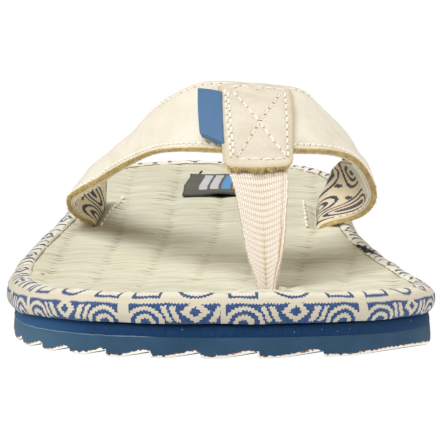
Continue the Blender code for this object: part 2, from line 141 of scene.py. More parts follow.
# Seagrass mat: reeds lie across the foot, held by warps along it
REED_WIDTHS = (1.1, 2.1)
REED_ROWS = (0.05, 0.27, 0.5, 0.73, 0.95)
REED_HEIGHT = 0.34
MAT_COLUMNS = 84
MAT_INSET = 4.4
MAT_KNOT = (-42.5, -59.2)    # small brown knot near the outer edge
REED_ARCH = 0.5             # rise of the reeds between two warps
REED_BEND, REED_WEAVE = 0.3, 0.2            # sideways bends, loose ones and those round the warps
REED_SPREAD = 0.06          # unevenness of the reeds' heights
WEAVE_LIFT = 0.09           # rise of a reed over a warp, and its dip under the next
WARP_PINCH, PINCH_WIDTH = 0.10, 1.2
BORDER_LIFT, BORDER_WIDTH = 0.55, 4.0       # the mat rises towards the binding
MAT_WAVE = 0.22
MAT_CLEAR = 0.4             # the mat's underside above the midsole
SLIT_DEPTH, SLIT_WIDTH = 0.9, 1.1           # dip of the mat along the strap's slots
SLIT_LIP, LIP_PLACE, LIP_WIDTH = 0.25, 2.6, 1.2
POST_LIP, POST_LIP_PLACE, POST_LIP_WIDTH = 1.15, 4.6, 1.7   # pulled-up rim round the toe post
POST_PIT, POST_PIT_WIDTH = 1.2, 3.0
POST_STRETCH = 1.7          # that rim is longer across the foot
WARP_PITCH, WARP_PHASE = 12.3, 11.55
WARP_SPACES = 12            # at most so many spaces between warps
WARP_BEND = 10.0            # the warps lean outwards in front of this place
WARP_LEANS = (0.065, 0.015)

# Strap
STRAP_THICK = 2.4
LEATHER_THICK = 1.3
LINING_THICK = 0.6
LINING_INSET, LINING_GAP = 0.4, 0.05
BARE_LINING = (196.0, 14.0, 8.5, 15.0, 0.0)     # unprinted oval: along, across, half sizes, slant
STRAP_CROWN, CROWN_FADE = 0.9, 15.0
# Drop of the rear edge on an arm, where it begins from the tab's middle and the length it grows over
OUTER_ROLL, INNER_ROLL = (1.9, 14.0, 30.0), (2.4, 9.0, 20.0)
ROLL_SHARE = 0.45           # part of the width that the drop takes up
EDGE_FRAY = 0.006           # unevenness of the cut front edge, in shares of the width
SLOT_SHARE, THINNING = 0.45, 22.0   # share of the leather's thickness left at the slots, and its taper
STRAP_LUMPS = 0.12
FURROW_DEPTH, FURROW_WIDTH = 0.30, 0.9      # furrows under the band's stitch rows
STRAP_ROOT = -5.4
STRAP_SECTIONS = (
    # front x, front y, front lift, rear x, rear y, rear lift
    (-31.1, 15.0, STRAP_ROOT, -28.5, 51.0, STRAP_ROOT),     # outer slot, bottom
    (-31.1, 15.0, 0.8, -28.5, 51.0, 0.8),                   # outer slot, mouth
    (-33.9, 12.0, 3.0, -28.8, 50.5, 5.0),
    (-36.7, 5.0, 7.2, -29.8, 45.0, 7.8),                    # widest bulge, outer side
    (-34.6, -4.0, 11.8, -30.9, 30.0, 11.4),
    (-29.6, -12.0, 15.9, -27.7, 10.0, 19.0),
    (-20.5, -31.0, 24.0, -20.5, -13.0, 29.9),
    (-8.1, -57.0, 30.5, -8.9, -37.0, 41.5),
    (10.6, -68.0, 31.4, 10.0, -43.5, 44.4),                 # middle of the tab
    (24.7, -60.0, 30.5, 23.3, -36.0, 40.3),
    (35.3, -39.0, 24.7, 32.4, -13.0, 27.5),
    (39.8, -11.0, 13.7, 35.0, 18.0, 17.5),
    (39.4, 0.0, 7.8, 33.2, 37.0, 11.6),                     # widest bulge, inner side
    (33.6, 7.0, 3.6, 29.9, 45.5, 5.2),
    (26.7, 10.0, 0.8, 26.7, 48.0, 0.8),                     # inner slot, mouth
    (26.7, 10.0, STRAP_ROOT, 26.7, 48.0, STRAP_ROOT),       # inner slot, bottom
)
TAB_SECTION = 8
STRAP_CREASES = (
    # along from the tab's middle, share of the width, half length, half width, height, turn in degrees
    (-11.5, 0.95, 8.0, 6.0, 1.7, 0.0),      # leather pushed up beside the tab
    (-27.0, 0.40, 17.0, 4.5, -0.45, 24.0),
    (-44.0, 0.62, 15.0, 4.0, -0.40, -30.0),
    (-70.0, 0.40, 10.0, 4.0, -0.40, 62.0),
    (-82.0, 0.42, 10.0, 3.5, 0.30, 70.0),
    (11.0, 0.95, 7.0, 6.0, 1.1, 0.0),
    (26.0, 0.95, 7.0, 6.0, 0.7, 0.0),
    (21.0, 0.50, 13.0, 4.5, -0.35, -22.0),
    (46.0, 0.45, 14.0, 4.5, -0.45, 28.0),
    (73.0, 0.42, 10.0, 4.0, -0.35, -60.0),
)

# Tab, tag and toe post
TAB_THICK = 1.8
TAB_HALF_WIDTH = 7.9
TAB_FRONT, TAB_REAR = -0.35, 0.99
TAB_CORNER = 2.6
TAB_LEAN = 0.8              # extra width of the tab's outer side at its rear
TAB_LUMPS, TAB_FURROW, TAB_WRINKLES = 0.10, 0.22, 0.7
TAB_EDGES = ((0.4, 0.9), (0.75, 1.2), (1.6, 2.2))   # drop and its width at the sides, front and rear
TAG_THICK = 2.0
TAG_WIDTH = 5.2
TAG_TUCK, TAG_BOW = 0.4, 0.10
TAG_SKEWS = (0.055, 0.05)   # slant of the tag's ends, and what its front end has more
TAG_FRONT, TAG_REAR = 0.085, 0.80
TAG_STANDOFF = 1.0
POST_THICK = 2.0
POST_BASE_Y = -105.5
POST_ROOT = -5.2
POST_SECTIONS = (
    # x, y, lift above the footbed, half width, depth of the fold
    (12.5, POST_BASE_Y, POST_ROOT, 2.5, 1.1),
    (12.5, POST_BASE_Y, 0.4, 2.5, 1.1),
    (12.3, -98.5, 6.0, 3.9, 1.1),
    (11.9, -88.5, 15.2, 5.6, 0.9),
    (11.3, -79.5, 23.6, 6.6, 0.3),
)
POST_TOP_HALF_WIDTH = 6.9
POST_TUCK = 0.1
POST_TOP_SHARES = (-0.30, -0.03)
CORD_COUNT = 24             # cords across the webbing
RIB_PITCH = 1.85
PICK_PITCH = 1.15          # cross threads of the webbing
RIB_BOW = 2.3               # sag of a rib's middle
CORD_HEIGHT, RIB_HEIGHT = 0.08, 0.09
SELVAGE_PLACE, SELVAGE_WIDTH, SELVAGE_DEPTH = 0.82, 0.055, 0.25     # place and width as shares
CREASE_DEPTH = 0.12         # of the line down the fold's middle

# Heel label
LABEL_X = (-8.9, 14.0)
LABEL_Y = (62.0, 106.0)
LABEL_THICK, LABEL_WALL = 0.8, 0.6          # of the solid, and of what is drawn
LABEL_LIFT, LABEL_LIP = 0.15, 0.4           # clear of the reeds, and more at its front edge
LABEL_SLANT, LABEL_RAGGED = 0.05, 0.6
LABEL_STRIPES = (
    # middle, half width, colour
    (5.4, 1.1, (0.600, 0.610, 0.640)),
    (8.3, 1.1, (0.600, 0.610, 0.640)),
    (11.4, 1.2, (0.060, 0.290, 0.640)),
    (13.6, 0.5, (0.720, 0.170, 0.120)),
)
STRIPE_MIDDLE, STRIPE_HALF = 24.5, 17.0     # the stripes' reach along the label

# Sewing
ROW_START = 4.0             # the band's rows begin this far from its slots
STITCH_PITCH = 2.1
TAB_PITCH = 2.8
STITCH_SHARE = 0.78         # part of the pitch that a thread shows for
THREAD_RADIUS = 0.27
HOLE_RADIUS = 0.26
THREAD_BOW, THREAD_SINK = 0.30, 0.10
HOLE_ENDS = (-0.2, 0.07)    # bottom and top of a needle hole from the leather's face
FRONT_THREAD, FRONT_HOLE, INNER_THREAD = 0.34, 0.22, 0.32
FRONT_ROW, REAR_ROW, INNER_ROW = 1.8, 1.2, 1.0  # stitch rows from the strap's edges
REAR_HOLES = 21.0           # reach of the open needle holes in the rear row, from the tab's middle
MAT_ROWS = (
    # from x, from y, to x, to y
    (-29.4, 13.0, -24.1, 62.0),
    (23.7, 9.0, 23.1, 55.0),
)
MAT_PITCH, MAT_SHARE = 5.2, 0.5
MAT_THREAD, MAT_THREAD_LIFT = 0.46, 0.45
HAIR_RADIUS = 0.09
TAB_HAIR_LENGTHS, BAND_HAIR_LENGTHS = (0.4, 1.2), (0.2, 0.65)
TAB_ROWS = (
    # from x, from y, to x, to y, thread, needle hole; x from the tab's middle, y from its front edge
    (-6.9, 32.0, -6.0, 3.4, 0.29, 0.25),
    (-6.2, 31.0, -5.4, 4.6, 0.29, 0.25),
    (6.1, 32.0, 6.6, 3.4, 0.27, 0.30),
    (-4.6, 2.6, 5.8, 2.6, 0.27, 0.24),
    (-6.0, 32.8, 6.4, 32.6, 0.20, 0.20),
    (-5.4, 31.0, 6.2, 3.6, 0.29, 0.25),
    (5.2, 31.0, -4.6, 3.6, 0.20, 0.38),     # this diagonal shows more holes than thread
)


# Curves through table rows

def spline(keys, rows, at):
    """Natural cubic curve through the rows of a table, read at the keys in `at`."""
    keys, rows, at = np.asarray(keys, float), np.asarray(rows, float), np.asarray(at, float)
    spans = np.diff(keys)
    slopes = np.diff(rows, axis=0) / spans[:, None]
    system = np.eye(len(keys))
    target = np.zeros_like(rows)
    for i in range(1, len(keys) - 1):
        system[i, i - 1:i + 2] = spans[i - 1], 2.0 * (spans[i - 1] + spans[i]), spans[i]
        target[i] = 6.0 * (slopes[i] - slopes[i - 1])
    bends = np.linalg.solve(system, target)
    i = np.clip(np.searchsorted(keys, at) - 1, 0, len(spans) - 1)
    span = spans[i][:, None]
    done = (at - keys[i])[:, None]
    left = span - done
    curved = (bends[i] * left ** 3 + bends[i + 1] * done ** 3) / (6.0 * span)
    start = (rows[i] / span - bends[i] * span / 6.0) * left
    end = (rows[i + 1] / span - bends[i + 1] * span / 6.0) * done
    return curved + start + end


def chord_keys(points):
    """Running length along a row of points."""
    steps = np.linalg.norm(np.diff(points, axis=0), axis=1)
    return np.concatenate([[0.0], np.cumsum(steps)])


def along_line(points, keys, at):
    """Points of a polyline at running lengths."""
    return np.column_stack([np.interp(at, keys, points[:, axis]) for axis in range(points.shape[1])])


def unit(vectors):
    return vectors / np.linalg.norm(vectors, axis=-1, keepdims=True)


def smooth_step(value):
    value = np.clip(value, 0.0, 1.0)
    return value * value * (3.0 - 2.0 * value)


def soft_noise(u, v, seed):
    """Smooth unevenness, mostly between -1 and 1; u and v count in lengths of its waves."""
    rng = np.random.default_rng(seed)
    waves = 6
    total = 0.0
    for _ in range(waves):
        angle, phase = rng.uniform(0.0, 2.0 * math.pi, 2)
        pace = 2.0 * math.pi * rng.uniform(0.5, 1.6)
        total = total + np.sin(pace * (u * math.cos(angle) + v * math.sin(angle)) + phase)
    return total / waves * 1.8


def bell(distance, width):
    return np.exp(-(distance / width) ** 2)


# Heights along the sole

def toe_lift(y, start, curve):
    share = np.clip((start - y) / (start + HALF_LENGTH), 0.0, None)
    return TOE_SPRING * share ** curve


def ground(y):
    """Underside of the outsole: flat at ball and heel, lifted at toe, arch and heel edge."""
    along = np.clip((y - ARCH_FRONT) / (ARCH_REAR - ARCH_FRONT), 0.0, 1.0)
    arch = ARCH_LIFT * np.sin(math.pi * along) ** 2
    share = np.clip((y - HEEL_BREAK) / (HALF_LENGTH - HEEL_BREAK), 0.0, None)
    return toe_lift(y, SOLE_BREAK, SOLE_CURVE) + arch + HEEL_BEVEL * share ** 2


def outsole_top(y):
    return ground(y) + OUTSOLE_THICK


def midsole_bottom(y):
    return outsole_top(y) + JOINT_GAP


def heel_rise(y):
    return HEEL_RISE * smooth_step((y - RISE_FRONT) / (RISE_REAR - RISE_FRONT))


def midsole_top(y):
    return toe_lift(y, SOLE_BREAK, SOLE_CURVE) + OUTSOLE_THICK + GAP + MIDSOLE_THICK + heel_rise(y)


def footbed_bottom(y):
    return midsole_top(y) + GAP


def footbed_top(y):
    layers = OUTSOLE_THICK + MIDSOLE_THICK + FOOTBED_THICK + 2.0 * GAP
    return toe_lift(y, TOE_BREAK, TOE_CURVE) + layers + heel_rise(y)


# Outline from above

def outline_sides():
    """Outer and inner side of the outline as rows of points, both from toe to heel."""
    wrap = 3
    points = np.array(OUTLINE + OUTLINE[:1])
    padded = np.vstack([points[-1 - wrap:-1], points, points[1:1 + wrap]])
    keys = chord_keys(padded)
    curve = spline(keys, padded, np.linspace(keys[wrap], keys[-1 - wrap], OUTLINE_STEPS + 1)[:-1])
    return split_ring(curve)


def split_ring(ring):
    """Both sides of a ring from toe to heel: first the one that its points run down."""
    toe, heel = ring[:, 1].argmin(), ring[:, 1].argmax()
    ring = np.roll(ring, -toe, axis=0)
    heel = (heel - toe) % len(ring)
    return ring[:heel + 1], np.vstack([ring[heel:], ring[:1]])[::-1]


def outline_ring():
    """Ring of points at shared stations: inner side from toe to heel, then outer side back."""
    outer, inner = outline_sides()
    angles = math.pi * np.arange(STATIONS + 1) / STATIONS
    ys = outer[0, 1] + (outer[-1, 1] - outer[0, 1]) * (1.0 - np.cos(angles)) / 2.0
    inner_side = np.column_stack([np.interp(ys, inner[:, 1], inner[:, 0]), ys])
    outer_side = np.column_stack([np.interp(ys, outer[:, 1], outer[:, 0]), ys])[-2:0:-1]
    return np.vstack([inner_side, outer_side])


def even_ring(count):
    """The outline as evenly spaced points, in the same order as outline_ring."""
    outer, inner = outline_sides()
    loop = np.vstack([inner, outer[-2::-1]])
    keys = chord_keys(loop)
    return along_line(loop, keys, np.linspace(0.0, keys[-1], count + 1)[:-1])


def inset_ring(ring, distance):
    """The ring moved inwards, square to its own line."""
    along = unit(np.roll(ring, -1, axis=0) - np.roll(ring, 1, axis=0))
    inwards = np.column_stack([-along[:, 1], along[:, 0]])
    return ring + inwards * distance


# Meshes

def stack_faces(rings, size):
    """Side walls between stacked rings, and caps made of strips from side to side."""
    faces = turned(grid_faces(rings, size, wrap=True)[0])
    top = (rings - 1) * size
    for i in range(size // 2):
        strip = [i, (size - i) % size, size - i - 1, i + 1]
        corners = list(dict.fromkeys(strip))
        faces += [corners, [top + corner for corner in reversed(corners)]]
    return faces


def turned(faces):
    """The same faces seen from their other side."""
    return [face[:1] + face[:0:-1] for face in faces]


def shifted(faces, first):
    """The same faces on points that begin at number `first`."""
    return [[first + corner for corner in face] for face in faces]


def grid_faces(rows, columns, wrap=False):
    """Quads of a grid of points, and the (row, column) of each corner before wrapping."""
    across = columns if wrap else columns - 1
    row, column = (a.ravel() for a in np.meshgrid(np.arange(rows - 1), np.arange(across), indexing="ij"))
    corners = np.array([(row, column), (row + 1, column), (row + 1, column + 1), (row, column + 1)])
    faces = corners[:, 0] * columns + corners[:, 1] % columns
    return faces.T.tolist(), corners.transpose(2, 0, 1).reshape(-1, 2)


def add_object(name, data):
    added = bpy.data.objects.new(name, data)
    bpy.context.scene.collection.objects.link(added)
    return added


def add_piece(name, points, faces, materials, nodes=(), sharp=180.0):
    """A piece of the object from points in millimetres."""
    mesh = bpy.data.meshes.new(name)
    centred = np.asarray(points).reshape(-1, 3) + SHIFT
    mesh.from_pydata((centred * MM).tolist(), [], faces)
    mesh.shade_smooth()
    mesh.set_sharp_from_angle(angle=math.radians(sharp))
    for material in materials:
        mesh.materials.append(material)
    piece = add_object(name, mesh)
    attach(piece, "root")
    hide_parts(*nodes)
    return piece


def chart(piece, corner_places):
    """Stores a place in millimetres for each face corner, for patterns that follow the cloth."""
    layer = piece.data.uv_layers.new(name="chart")
    layer.uv.foreach_set("vector", np.asarray(corner_places, np.float32).ravel())


def chart_points(piece, places):
    """The same from one place for each point."""
    corners = np.empty(len(piece.data.loops), int)
    piece.data.loops.foreach_get("vertex_index", corners)
    chart(piece, places[corners])


def paint(piece, name, values, domain="POINT"):
    """Stores one number for each point or face, for a material to read."""
    attribute = piece.data.attributes.new(name, "FLOAT", domain)
    attribute.data.foreach_set("value", np.asarray(values, np.float32).ravel())


def thicken(piece, thickness):
    """Gives a sheet its thickness, inwards from its face."""
    wall = piece.modifiers.new("wall", "SOLIDIFY")
    wall.thickness = thickness * MM
    wall.offset = -1.0


def grid_piece(name, points, places, material, nodes=()):
    """A sheet from points[row, column], charted by places[row, column]."""
    faces, _ = grid_faces(*points.shape[:2])
    piece = add_piece(name, points, faces, [material], nodes)
    chart_points(piece, places.reshape(-1, 2))
    return piece


def slab(name, front, back, materials, nodes, rounding):
    """A closed sheet between two like grids of points; its rim and back take the last material."""
    rows, columns = front.shape[:2]
    size = rows * columns
    faces, _ = grid_faces(rows, columns)
    shown = len(faces)
    faces += shifted([face[::-1] for face in faces], size)
    numbers = np.arange(size).reshape(rows, columns)
    border = [*numbers[:-1, 0], *numbers[-1, :-1], *numbers[:0:-1, -1], *numbers[0, :0:-1]]
    for a, b in zip(border, border[1:] + border[:1]):
        faces.append((b, a, size + a, size + b))
    piece = add_piece(name, np.concatenate([front, back]), faces, materials, nodes, sharp=SLAB_CREASE)
    last = np.full(len(faces), len(materials) - 1)
    last[:shown] = 0
    piece.data.polygons.foreach_set("material_index", last)
    round_off = piece.modifiers.new("rounding", "BEVEL")
    round_off.width = rounding * MM
    round_off.segments = 3
    round_off.limit_method = "ANGLE"
    round_off.angle_limit = math.radians(SLAB_CREASE)
    return piece


def tube_points(line, normals, radii, sides=6):
    """Rings of points round a line, one radius for each ring."""
    ahead = unit(np.gradient(line, axis=0))
    side = unit(np.cross(ahead, normals))
    up = np.cross(side, ahead)
    turns = 2.0 * math.pi * np.arange(sides) / sides
    spokes = np.cos(turns)[:, None] * side[:, None] + np.sin(turns)[:, None] * up[:, None]
    return line[:, None] + spokes * np.asarray(radii)[:, None, None]


def tube_faces(rings, sides):
    """Side walls and both ends of a closed tube."""
    ends = [list(range(sides)), list(range((rings - 1) * sides, rings * sides))[::-1]]
    return grid_faces(rings, sides, wrap=True)[0] + ends


def add_thread(name, line, upwards, radius, sides, tones):
    """A piece of thread along a line; `upwards` is the side that its rings are built from."""
    tube = tube_points(line, np.tile(upwards, (len(line), 1)), np.full(len(line), radius), sides)
    add_tubes(name, [tube], thread_material(name, *tones))


def ring_keys(ring):
    """Running length round a closed ring, back to its first point."""
    return chord_keys(np.vstack([ring, ring[:1]]))


def add_tubes(name, tubes, material):
    """One piece from many closed tubes, each a [ring, side] array of points."""
    faces, first = [], 0
    for tube in tubes:
        faces += shifted(tube_faces(*tube.shape[:2]), first)
        first += tube.shape[0] * tube.shape[1]
    points = np.vstack([tube.reshape(-1, 3) for tube in tubes])
    add_piece(name, points, faces, [material], sharp=TUBE_CREASE)


# Materials

class Field:
    """A value that varies over a surface; ordinary arithmetic adds the nodes that work it out."""

    def __init__(self, graph, socket):
        self.graph = graph
        self.socket = socket

    def math(self, operation, *others):
        return self.graph.math(operation, self, *others)

    def __add__(self, other):
        return self.math("ADD", other)

    def __sub__(self, other):
        return self.math("SUBTRACT", other)

    def __rsub__(self, other):
        return self.graph.math("SUBTRACT", other, self)

    def __mul__(self, other):
        return self.math("MULTIPLY", other)

    __radd__ = __add__
    __rmul__ = __mul__

    def size(self):
        return self.math("ABSOLUTE")

    def below(self, limit):
        return self.math("LESS_THAN", limit)

    def either(self, other):
        return self.math("MAXIMUM", other)

    def without(self, other):
        return self * (1.0 - other)

    def repeat(self, pitch):
        """Distance from the middle of a repeat of that pitch."""
        return ((self * (1.0 / pitch)).math("FRACT") - 0.5) * pitch

    def ramp(self, start, end):
        """0 before start, 1 after end, smooth between them."""
        inputs = {"Value": self, "From Min": start, "From Max": end}
        return self.graph.node("MapRange", inputs, "Result", interpolation_type="SMOOTHSTEP")


class Graph:
    """A material's node tree, with short names for the nodes used here."""

    def __init__(self, name, roughness, sheen=0.0, specular=0.3):
        self.colour = (0.0, 0.0, 0.0, 1.0)
        self.material = bpy.data.materials.new(name)
        self.material.use_nodes = True
        self.tree = self.material.node_tree
        self.shader = self.tree.nodes["Principled BSDF"]
        shading = {"Roughness": roughness, "Specular IOR Level": specular, "Sheen Weight": sheen}
        self.set_inputs(self.shader, {**shading, "Sheen Roughness": 0.5})

    def set_inputs(self, node, inputs):
        """Feeds a node's inputs, by name or number, with fields or plain values."""
        for key, value in inputs.items():
            if isinstance(value, Field):
                self.tree.links.new(value.socket, node.inputs[key])
            else:
                node.inputs[key].default_value = value

    def node(self, kind, inputs, output=0, **settings):
        """Adds a node and gives one of its outputs."""
        node = self.tree.nodes.new("ShaderNode" + kind)
        for name, value in settings.items():
            setattr(node, name, value)
        self.set_inputs(node, inputs)
        return Field(self, node.outputs[output])

    def math(self, operation, *values):
        return self.node("Math", dict(enumerate(values)), operation=operation)

    def scaled(self, vector, factors):
        return self.node("VectorMath", {0: vector, 1: factors}, operation="MULTIPLY")

    def place(self, stretch=(1.0, 1.0, 1.0)):
        """Place on the object in millimetres, each axis times its stretch."""
        return self.scaled(self.node("TexCoord", {}, "Object"), [factor / MM for factor in stretch])

    def charted(self, stretch=(1.0, 1.0, 1.0)):
        """Place in the piece's own chart, in millimetres."""
        return self.scaled(self.node("UVMap", {}, uv_map="chart"), stretch)

    def axes(self, vector):
        return [self.node("SeparateXYZ", {0: vector}, axis) for axis in range(3)]

    def painted(self, name):
        return self.node("Attribute", {}, "Fac", attribute_name=name)

    def noise(self, scale, detail=3.0, place=None):
        """Noise about 0.5; scale counts its grains in a millimetre."""
        return self.node("TexNoise", {"Vector": place or self.place(), "Scale": scale, "Detail": detail})

    def mix(self, share, *tones):
        """A mix of two tones; the node's colours are its inputs 6 and 7."""
        first, second = (tone if isinstance(tone, Field) else (*tone, 1.0) for tone in tones)
        return self.node("Mix", {0: share, 6: first, 7: second}, 2, data_type="RGBA")

    def base(self, share, first, second):
        """Begins the colour as a mix of two tones."""
        self.colour = self.mix(share, first, second)

    def coat(self, share, tone):
        """Lays another tone over the colour so far, by its share at each place."""
        self.colour = self.mix(share, self.colour, tone)

    def finish(self, height=None, depth=0.1):
        """Connects the colour, and a bump whose full height is `depth` millimetres."""
        self.set_inputs(self.shader, {"Base Color": self.colour})
        if height is not None:
            bump = self.node("Bump", {"Height": height, "Distance": depth * MM})
            self.set_inputs(self.shader, {"Normal": bump})
        return self.material


def rubber_material():
    """Grey-blue outsole: fine specks, soft clouds, painted light on its outer side, and along the tread's
    lowest edge brown dirt and a pale painted reflection of the white floor.
    """
    graph = Graph("outsole_rubber", 0.7, specular=0.15)
    # painted light: the outer side is lighter where light from the left falls on it
    fade_and_painted_light = 1.0 - graph.axes(graph.place())[0].ramp(*PAINTED_LIGHT_SIDE)
    clouds = graph.noise(0.08).ramp(0.3, 0.7)
    specks = graph.noise(2.2, 2.0)
    above = graph.painted("above") + (graph.noise(1.1) - 0.5) * 1.5 + graph.painted("under")
    graph.base(clouds, (0.021, 0.062, 0.120), (0.032, 0.080, 0.145))
    graph.coat(fade_and_painted_light, (0.052, 0.118, 0.195))
    graph.coat(specks.ramp(0.66, 0.8) * 0.25, (0.13, 0.20, 0.29))
    graph.coat(1.0 - above.ramp(0.62, 0.78), (0.25, 0.12, 0.05))
    # painted reflection of the white floor: a pale line along the tread's lowest edge
    graph.coat(1.0 - above.ramp(0.48, 0.60), (0.82, 0.80, 0.76))
    return graph.finish(specks + graph.noise(0.7), 0.08)


def foam_material():
    """Blue midsole: a buffed side with fine upright streaks, pores, a few pale crumbs, and painted light on
    its outer side.
    """
    graph = Graph("midsole_foam", 0.7, specular=0.1)
    # painted light: the outer side is lighter where light from the left falls on it
    fade_and_painted_light = 1.0 - graph.axes(graph.place())[0].ramp(*PAINTED_LIGHT_SIDE)
    streaks = graph.noise(2.4, place=graph.place((1.0, 1.0, 0.2)))
    pores = graph.noise(3.0, 2.0)
    crumbs = graph.noise(0.9, 1.0).ramp(0.76, 0.80)
    graph.base(streaks.ramp(0.3, 0.7), (0.006, 0.031, 0.094), (0.010, 0.043, 0.120))
    graph.coat(fade_and_painted_light * 0.8, (0.030, 0.110, 0.268))
    graph.coat(pores.ramp(0.66, 0.8) * 0.2, (0.07, 0.14, 0.27))
    graph.coat(crumbs * 0.6, (0.45, 0.48, 0.52))
    return graph.finish(streaks + pores * 0.6, 0.06)


def seagrass_material():
    """Dry reeds: each its own tone, fibres along it, and painted shade where it dips between its neighbours
    and where it passes under a warp.
    """
    graph = Graph("seagrass", 0.75, specular=0.08)
    fibres = graph.noise(1.0, place=graph.place((0.07, 1.0, 0.5)))
    patches = graph.noise(0.09, place=graph.place((0.5, 1.0, 1.0)))
    graph.base(graph.painted("tone"), (0.612, 0.600, 0.476), (0.740, 0.735, 0.625))
    graph.coat(patches.ramp(0.4, 0.75) * 0.30, (0.650, 0.632, 0.480))
    graph.coat(fibres.ramp(0.5, 0.75) * 0.55, (0.500, 0.440, 0.270))
    # painted shade in the gaps between reeds and under the warps
    graph.coat(graph.painted("painted_shade"), (0.270, 0.220, 0.110))
    x, y, _ = graph.axes(graph.place())
    off_x, off_y = x - (MAT_KNOT[0] + SIDE_SHIFT), (y - MAT_KNOT[1]) * 0.35
    knot = 1.0 - (off_x * off_x + off_y * off_y).ramp(0.1, 0.6)
    graph.coat(knot * 0.9, (0.230, 0.140, 0.045))
    return graph.finish(fibres, 0.10)


def stepped(u, v):
    """Places in the print snapped to the cloth's threads, so that edges come out stepped."""
    column = (u * (1.0 / PRINT_STEP)).math("FLOOR")
    return column * PRINT_STEP, v + column.repeat(2.0) * 0.26


def border_print(u, v, length):
    """Plain geometric border on a strip of that length: rings, slanted bars and arches on an inked foot.

    Outlines lie above them round the toe, and diamonds between cross bars along the sides.
    """
    toe = 1.0 - (u - length / 2.0).size().below(length / 2.0 - TOE_PRINT)
    u, v = stepped(u, v)
    a = u.repeat(35.5).size()
    ink = v.below(5.0)
    ring = a * 0.85 + (v - 3.1).size()
    ink = ink.without(ring.below(3.0)).either(ring.below(1.3))
    for middle, half in ((4.6, 0.8), (6.8, 0.6)):
        bar = (a - v * 0.45 - middle + 0.8).size().below(half) * (v - 2.4).size().below(1.9)
        ink = ink.without(bar)
    arch_side = (a - 12.4).size()
    arch = (arch_side * arch_side * 0.8 + v * v).math("SQRT")
    for outer, inner in ((4.3, 3.3), (2.3, 1.2)):
        ink = ink.without(arch.below(outer)).either(arch.below(inner))
    ink = ink.without((a - 17.75).size().below(1.2))
    floor = (v - 6.9).size().below(0.42) * (a - 12.4).size().below(3.4)
    ends = ((a - 12.4).size() - 3.4).size().below(0.4) * (v - 8.0).size().below(1.5)
    cup = (a * a * 0.6 + (v - 10.2) * (v - 10.2)).math("SQRT")
    rim = (cup - 3.3).size().below(0.42) * v.below(10.0)
    side = u.repeat(27.0).size()
    rise = (v - 8.6).size()
    diamond = side * 0.20 + rise * 0.50
    marks = (diamond - 0.80).size().below(0.20).either(diamond.below(0.22))
    for middle in (8.2, 13.5):
        marks = marks.either((side - middle).size().below(0.75) * rise.below(1.9))
    return ink.either(floor.either(ends).either(rim) * toe).either(marks.without(toe))


def lining_print(u, v):
    """Thin nested ovals in shifted rows, with short bars between them."""
    hem = v.below(1.8)
    u, v = (field * 0.72 for field in stepped(u, v))
    row = (v * (1.0 / 12.0)).math("FLOOR")
    a = (u + row.repeat(2.0) * 11.0).repeat(22.0)
    b = v.repeat(12.0)
    long_side = ((a * 0.9 + b * 0.45).size() - 3.0).either(0.0)
    short_side = b * 0.95 - a * 0.30
    oval = (long_side * long_side + short_side * short_side).math("SQRT")
    rings = (oval + 0.6).repeat(2.3).size().below(0.52) * oval.below(6.4)
    bars = (a - b * 0.4).repeat(3.6).size().below(0.5) * (oval - 8.6).size().below(1.1)
    return rings.either(bars).without(hem)


def canvas_material(name, cloth, ink, pattern, patch, lit_top=None):
    """Woven canvas with a print in one ink.

    `patch` is an oval of another tone in the chart; `lit_top` holds the cloth's and the ink's tones
    towards the seam: painted light, lighter where the top of the roll faces the light.
    """
    graph = Graph(name, 0.9, sheen=0.12, specular=0.15)
    u, v, _ = graph.axes(graph.charted())
    slub_tone = tuple(0.84 * tone for tone in cloth)
    if lit_top:
        cloth, ink = (graph.mix(v.ramp(6.0, 9.5), low, high) for low, high in zip((cloth, ink), lit_top))
    wander = graph.noise(0.25, place=graph.charted()) - 0.5
    printed = pattern(u + wander * 1.6, v + wander * 1.2)
    along, across, half_length, half_width, slant, patch_tone = patch
    length = (u - along) * (1.0 / half_length)
    width = (v - across - (u - along) * slant) * (1.0 / half_width)
    oval = (length * length + width * width).below(1.0)
    weft = u.repeat(0.55).size()
    warp = v.repeat(0.75).size()
    slubs = graph.noise(1.2, place=graph.charted((0.25, 1.6, 1.0)))
    # here only the print's uneven fading
    fade_and_painted_light = graph.noise(1.4, place=graph.charted()).ramp(0.25, 0.6)
    graph.base(slubs.ramp(0.4, 0.75) * 0.4, cloth, slub_tone)
    graph.coat(printed * (fade_and_painted_light * 0.08 + 0.90), ink)
    graph.coat(oval, patch_tone)
    return graph.finish(weft * 2.0 + warp + slubs * 0.6, 0.10)


def nubuck_material(name, darker, lighter):
    """Cream nubuck: soft clouds, a fine nap, faint rubbed marks, and tan along its cut edges, part the
    edge's colour and part painted shade where the edge rolls over.
    """
    graph = Graph(name, 0.88, sheen=0.2, specular=0.2)
    clouds = graph.noise(0.06)
    blotches = graph.noise(0.16, 4.0)
    nap = graph.noise(2.6, 4.0)
    marks = graph.noise(0.5, place=graph.place((0.35, 1.0, 0.35)))
    worn = tuple(tone * fade for tone, fade in zip(darker, (0.84, 0.78, 0.64)))
    graph.base(clouds.ramp(0.3, 0.7), darker, lighter)
    graph.coat(blotches.ramp(0.48, 0.72) * 0.35, worn)
    graph.coat(nap.ramp(0.45, 0.75) * 0.5, worn)
    graph.coat(marks.ramp(0.6, 0.8) * 0.25, (0.800, 0.760, 0.650))
    # tan near the cut edges: partly the leather's edge colour, partly painted shade on the rolled edge
    graph.coat(graph.painted("edge_tan_and_shade") * (nap * 0.6 + 0.35), (0.480, 0.385, 0.210))
    return graph.finish(nap + marks * 0.5, 0.08)


def raw_edge_material():
    """Cut edge and flesh side of the leather: tan fibres."""
    graph = Graph("raw_leather_edge", 0.95, sheen=0.2, specular=0.1)
    fibres = graph.noise(2.4, 5.0)
    blotches = graph.noise(0.4)
    graph.base(blotches.ramp(0.3, 0.7), (0.560, 0.432, 0.180), (0.690, 0.545, 0.250))
    graph.coat(fibres.ramp(0.5, 0.75) * 0.45, (0.300, 0.215, 0.085))
    return graph.finish(fibres, 0.3)


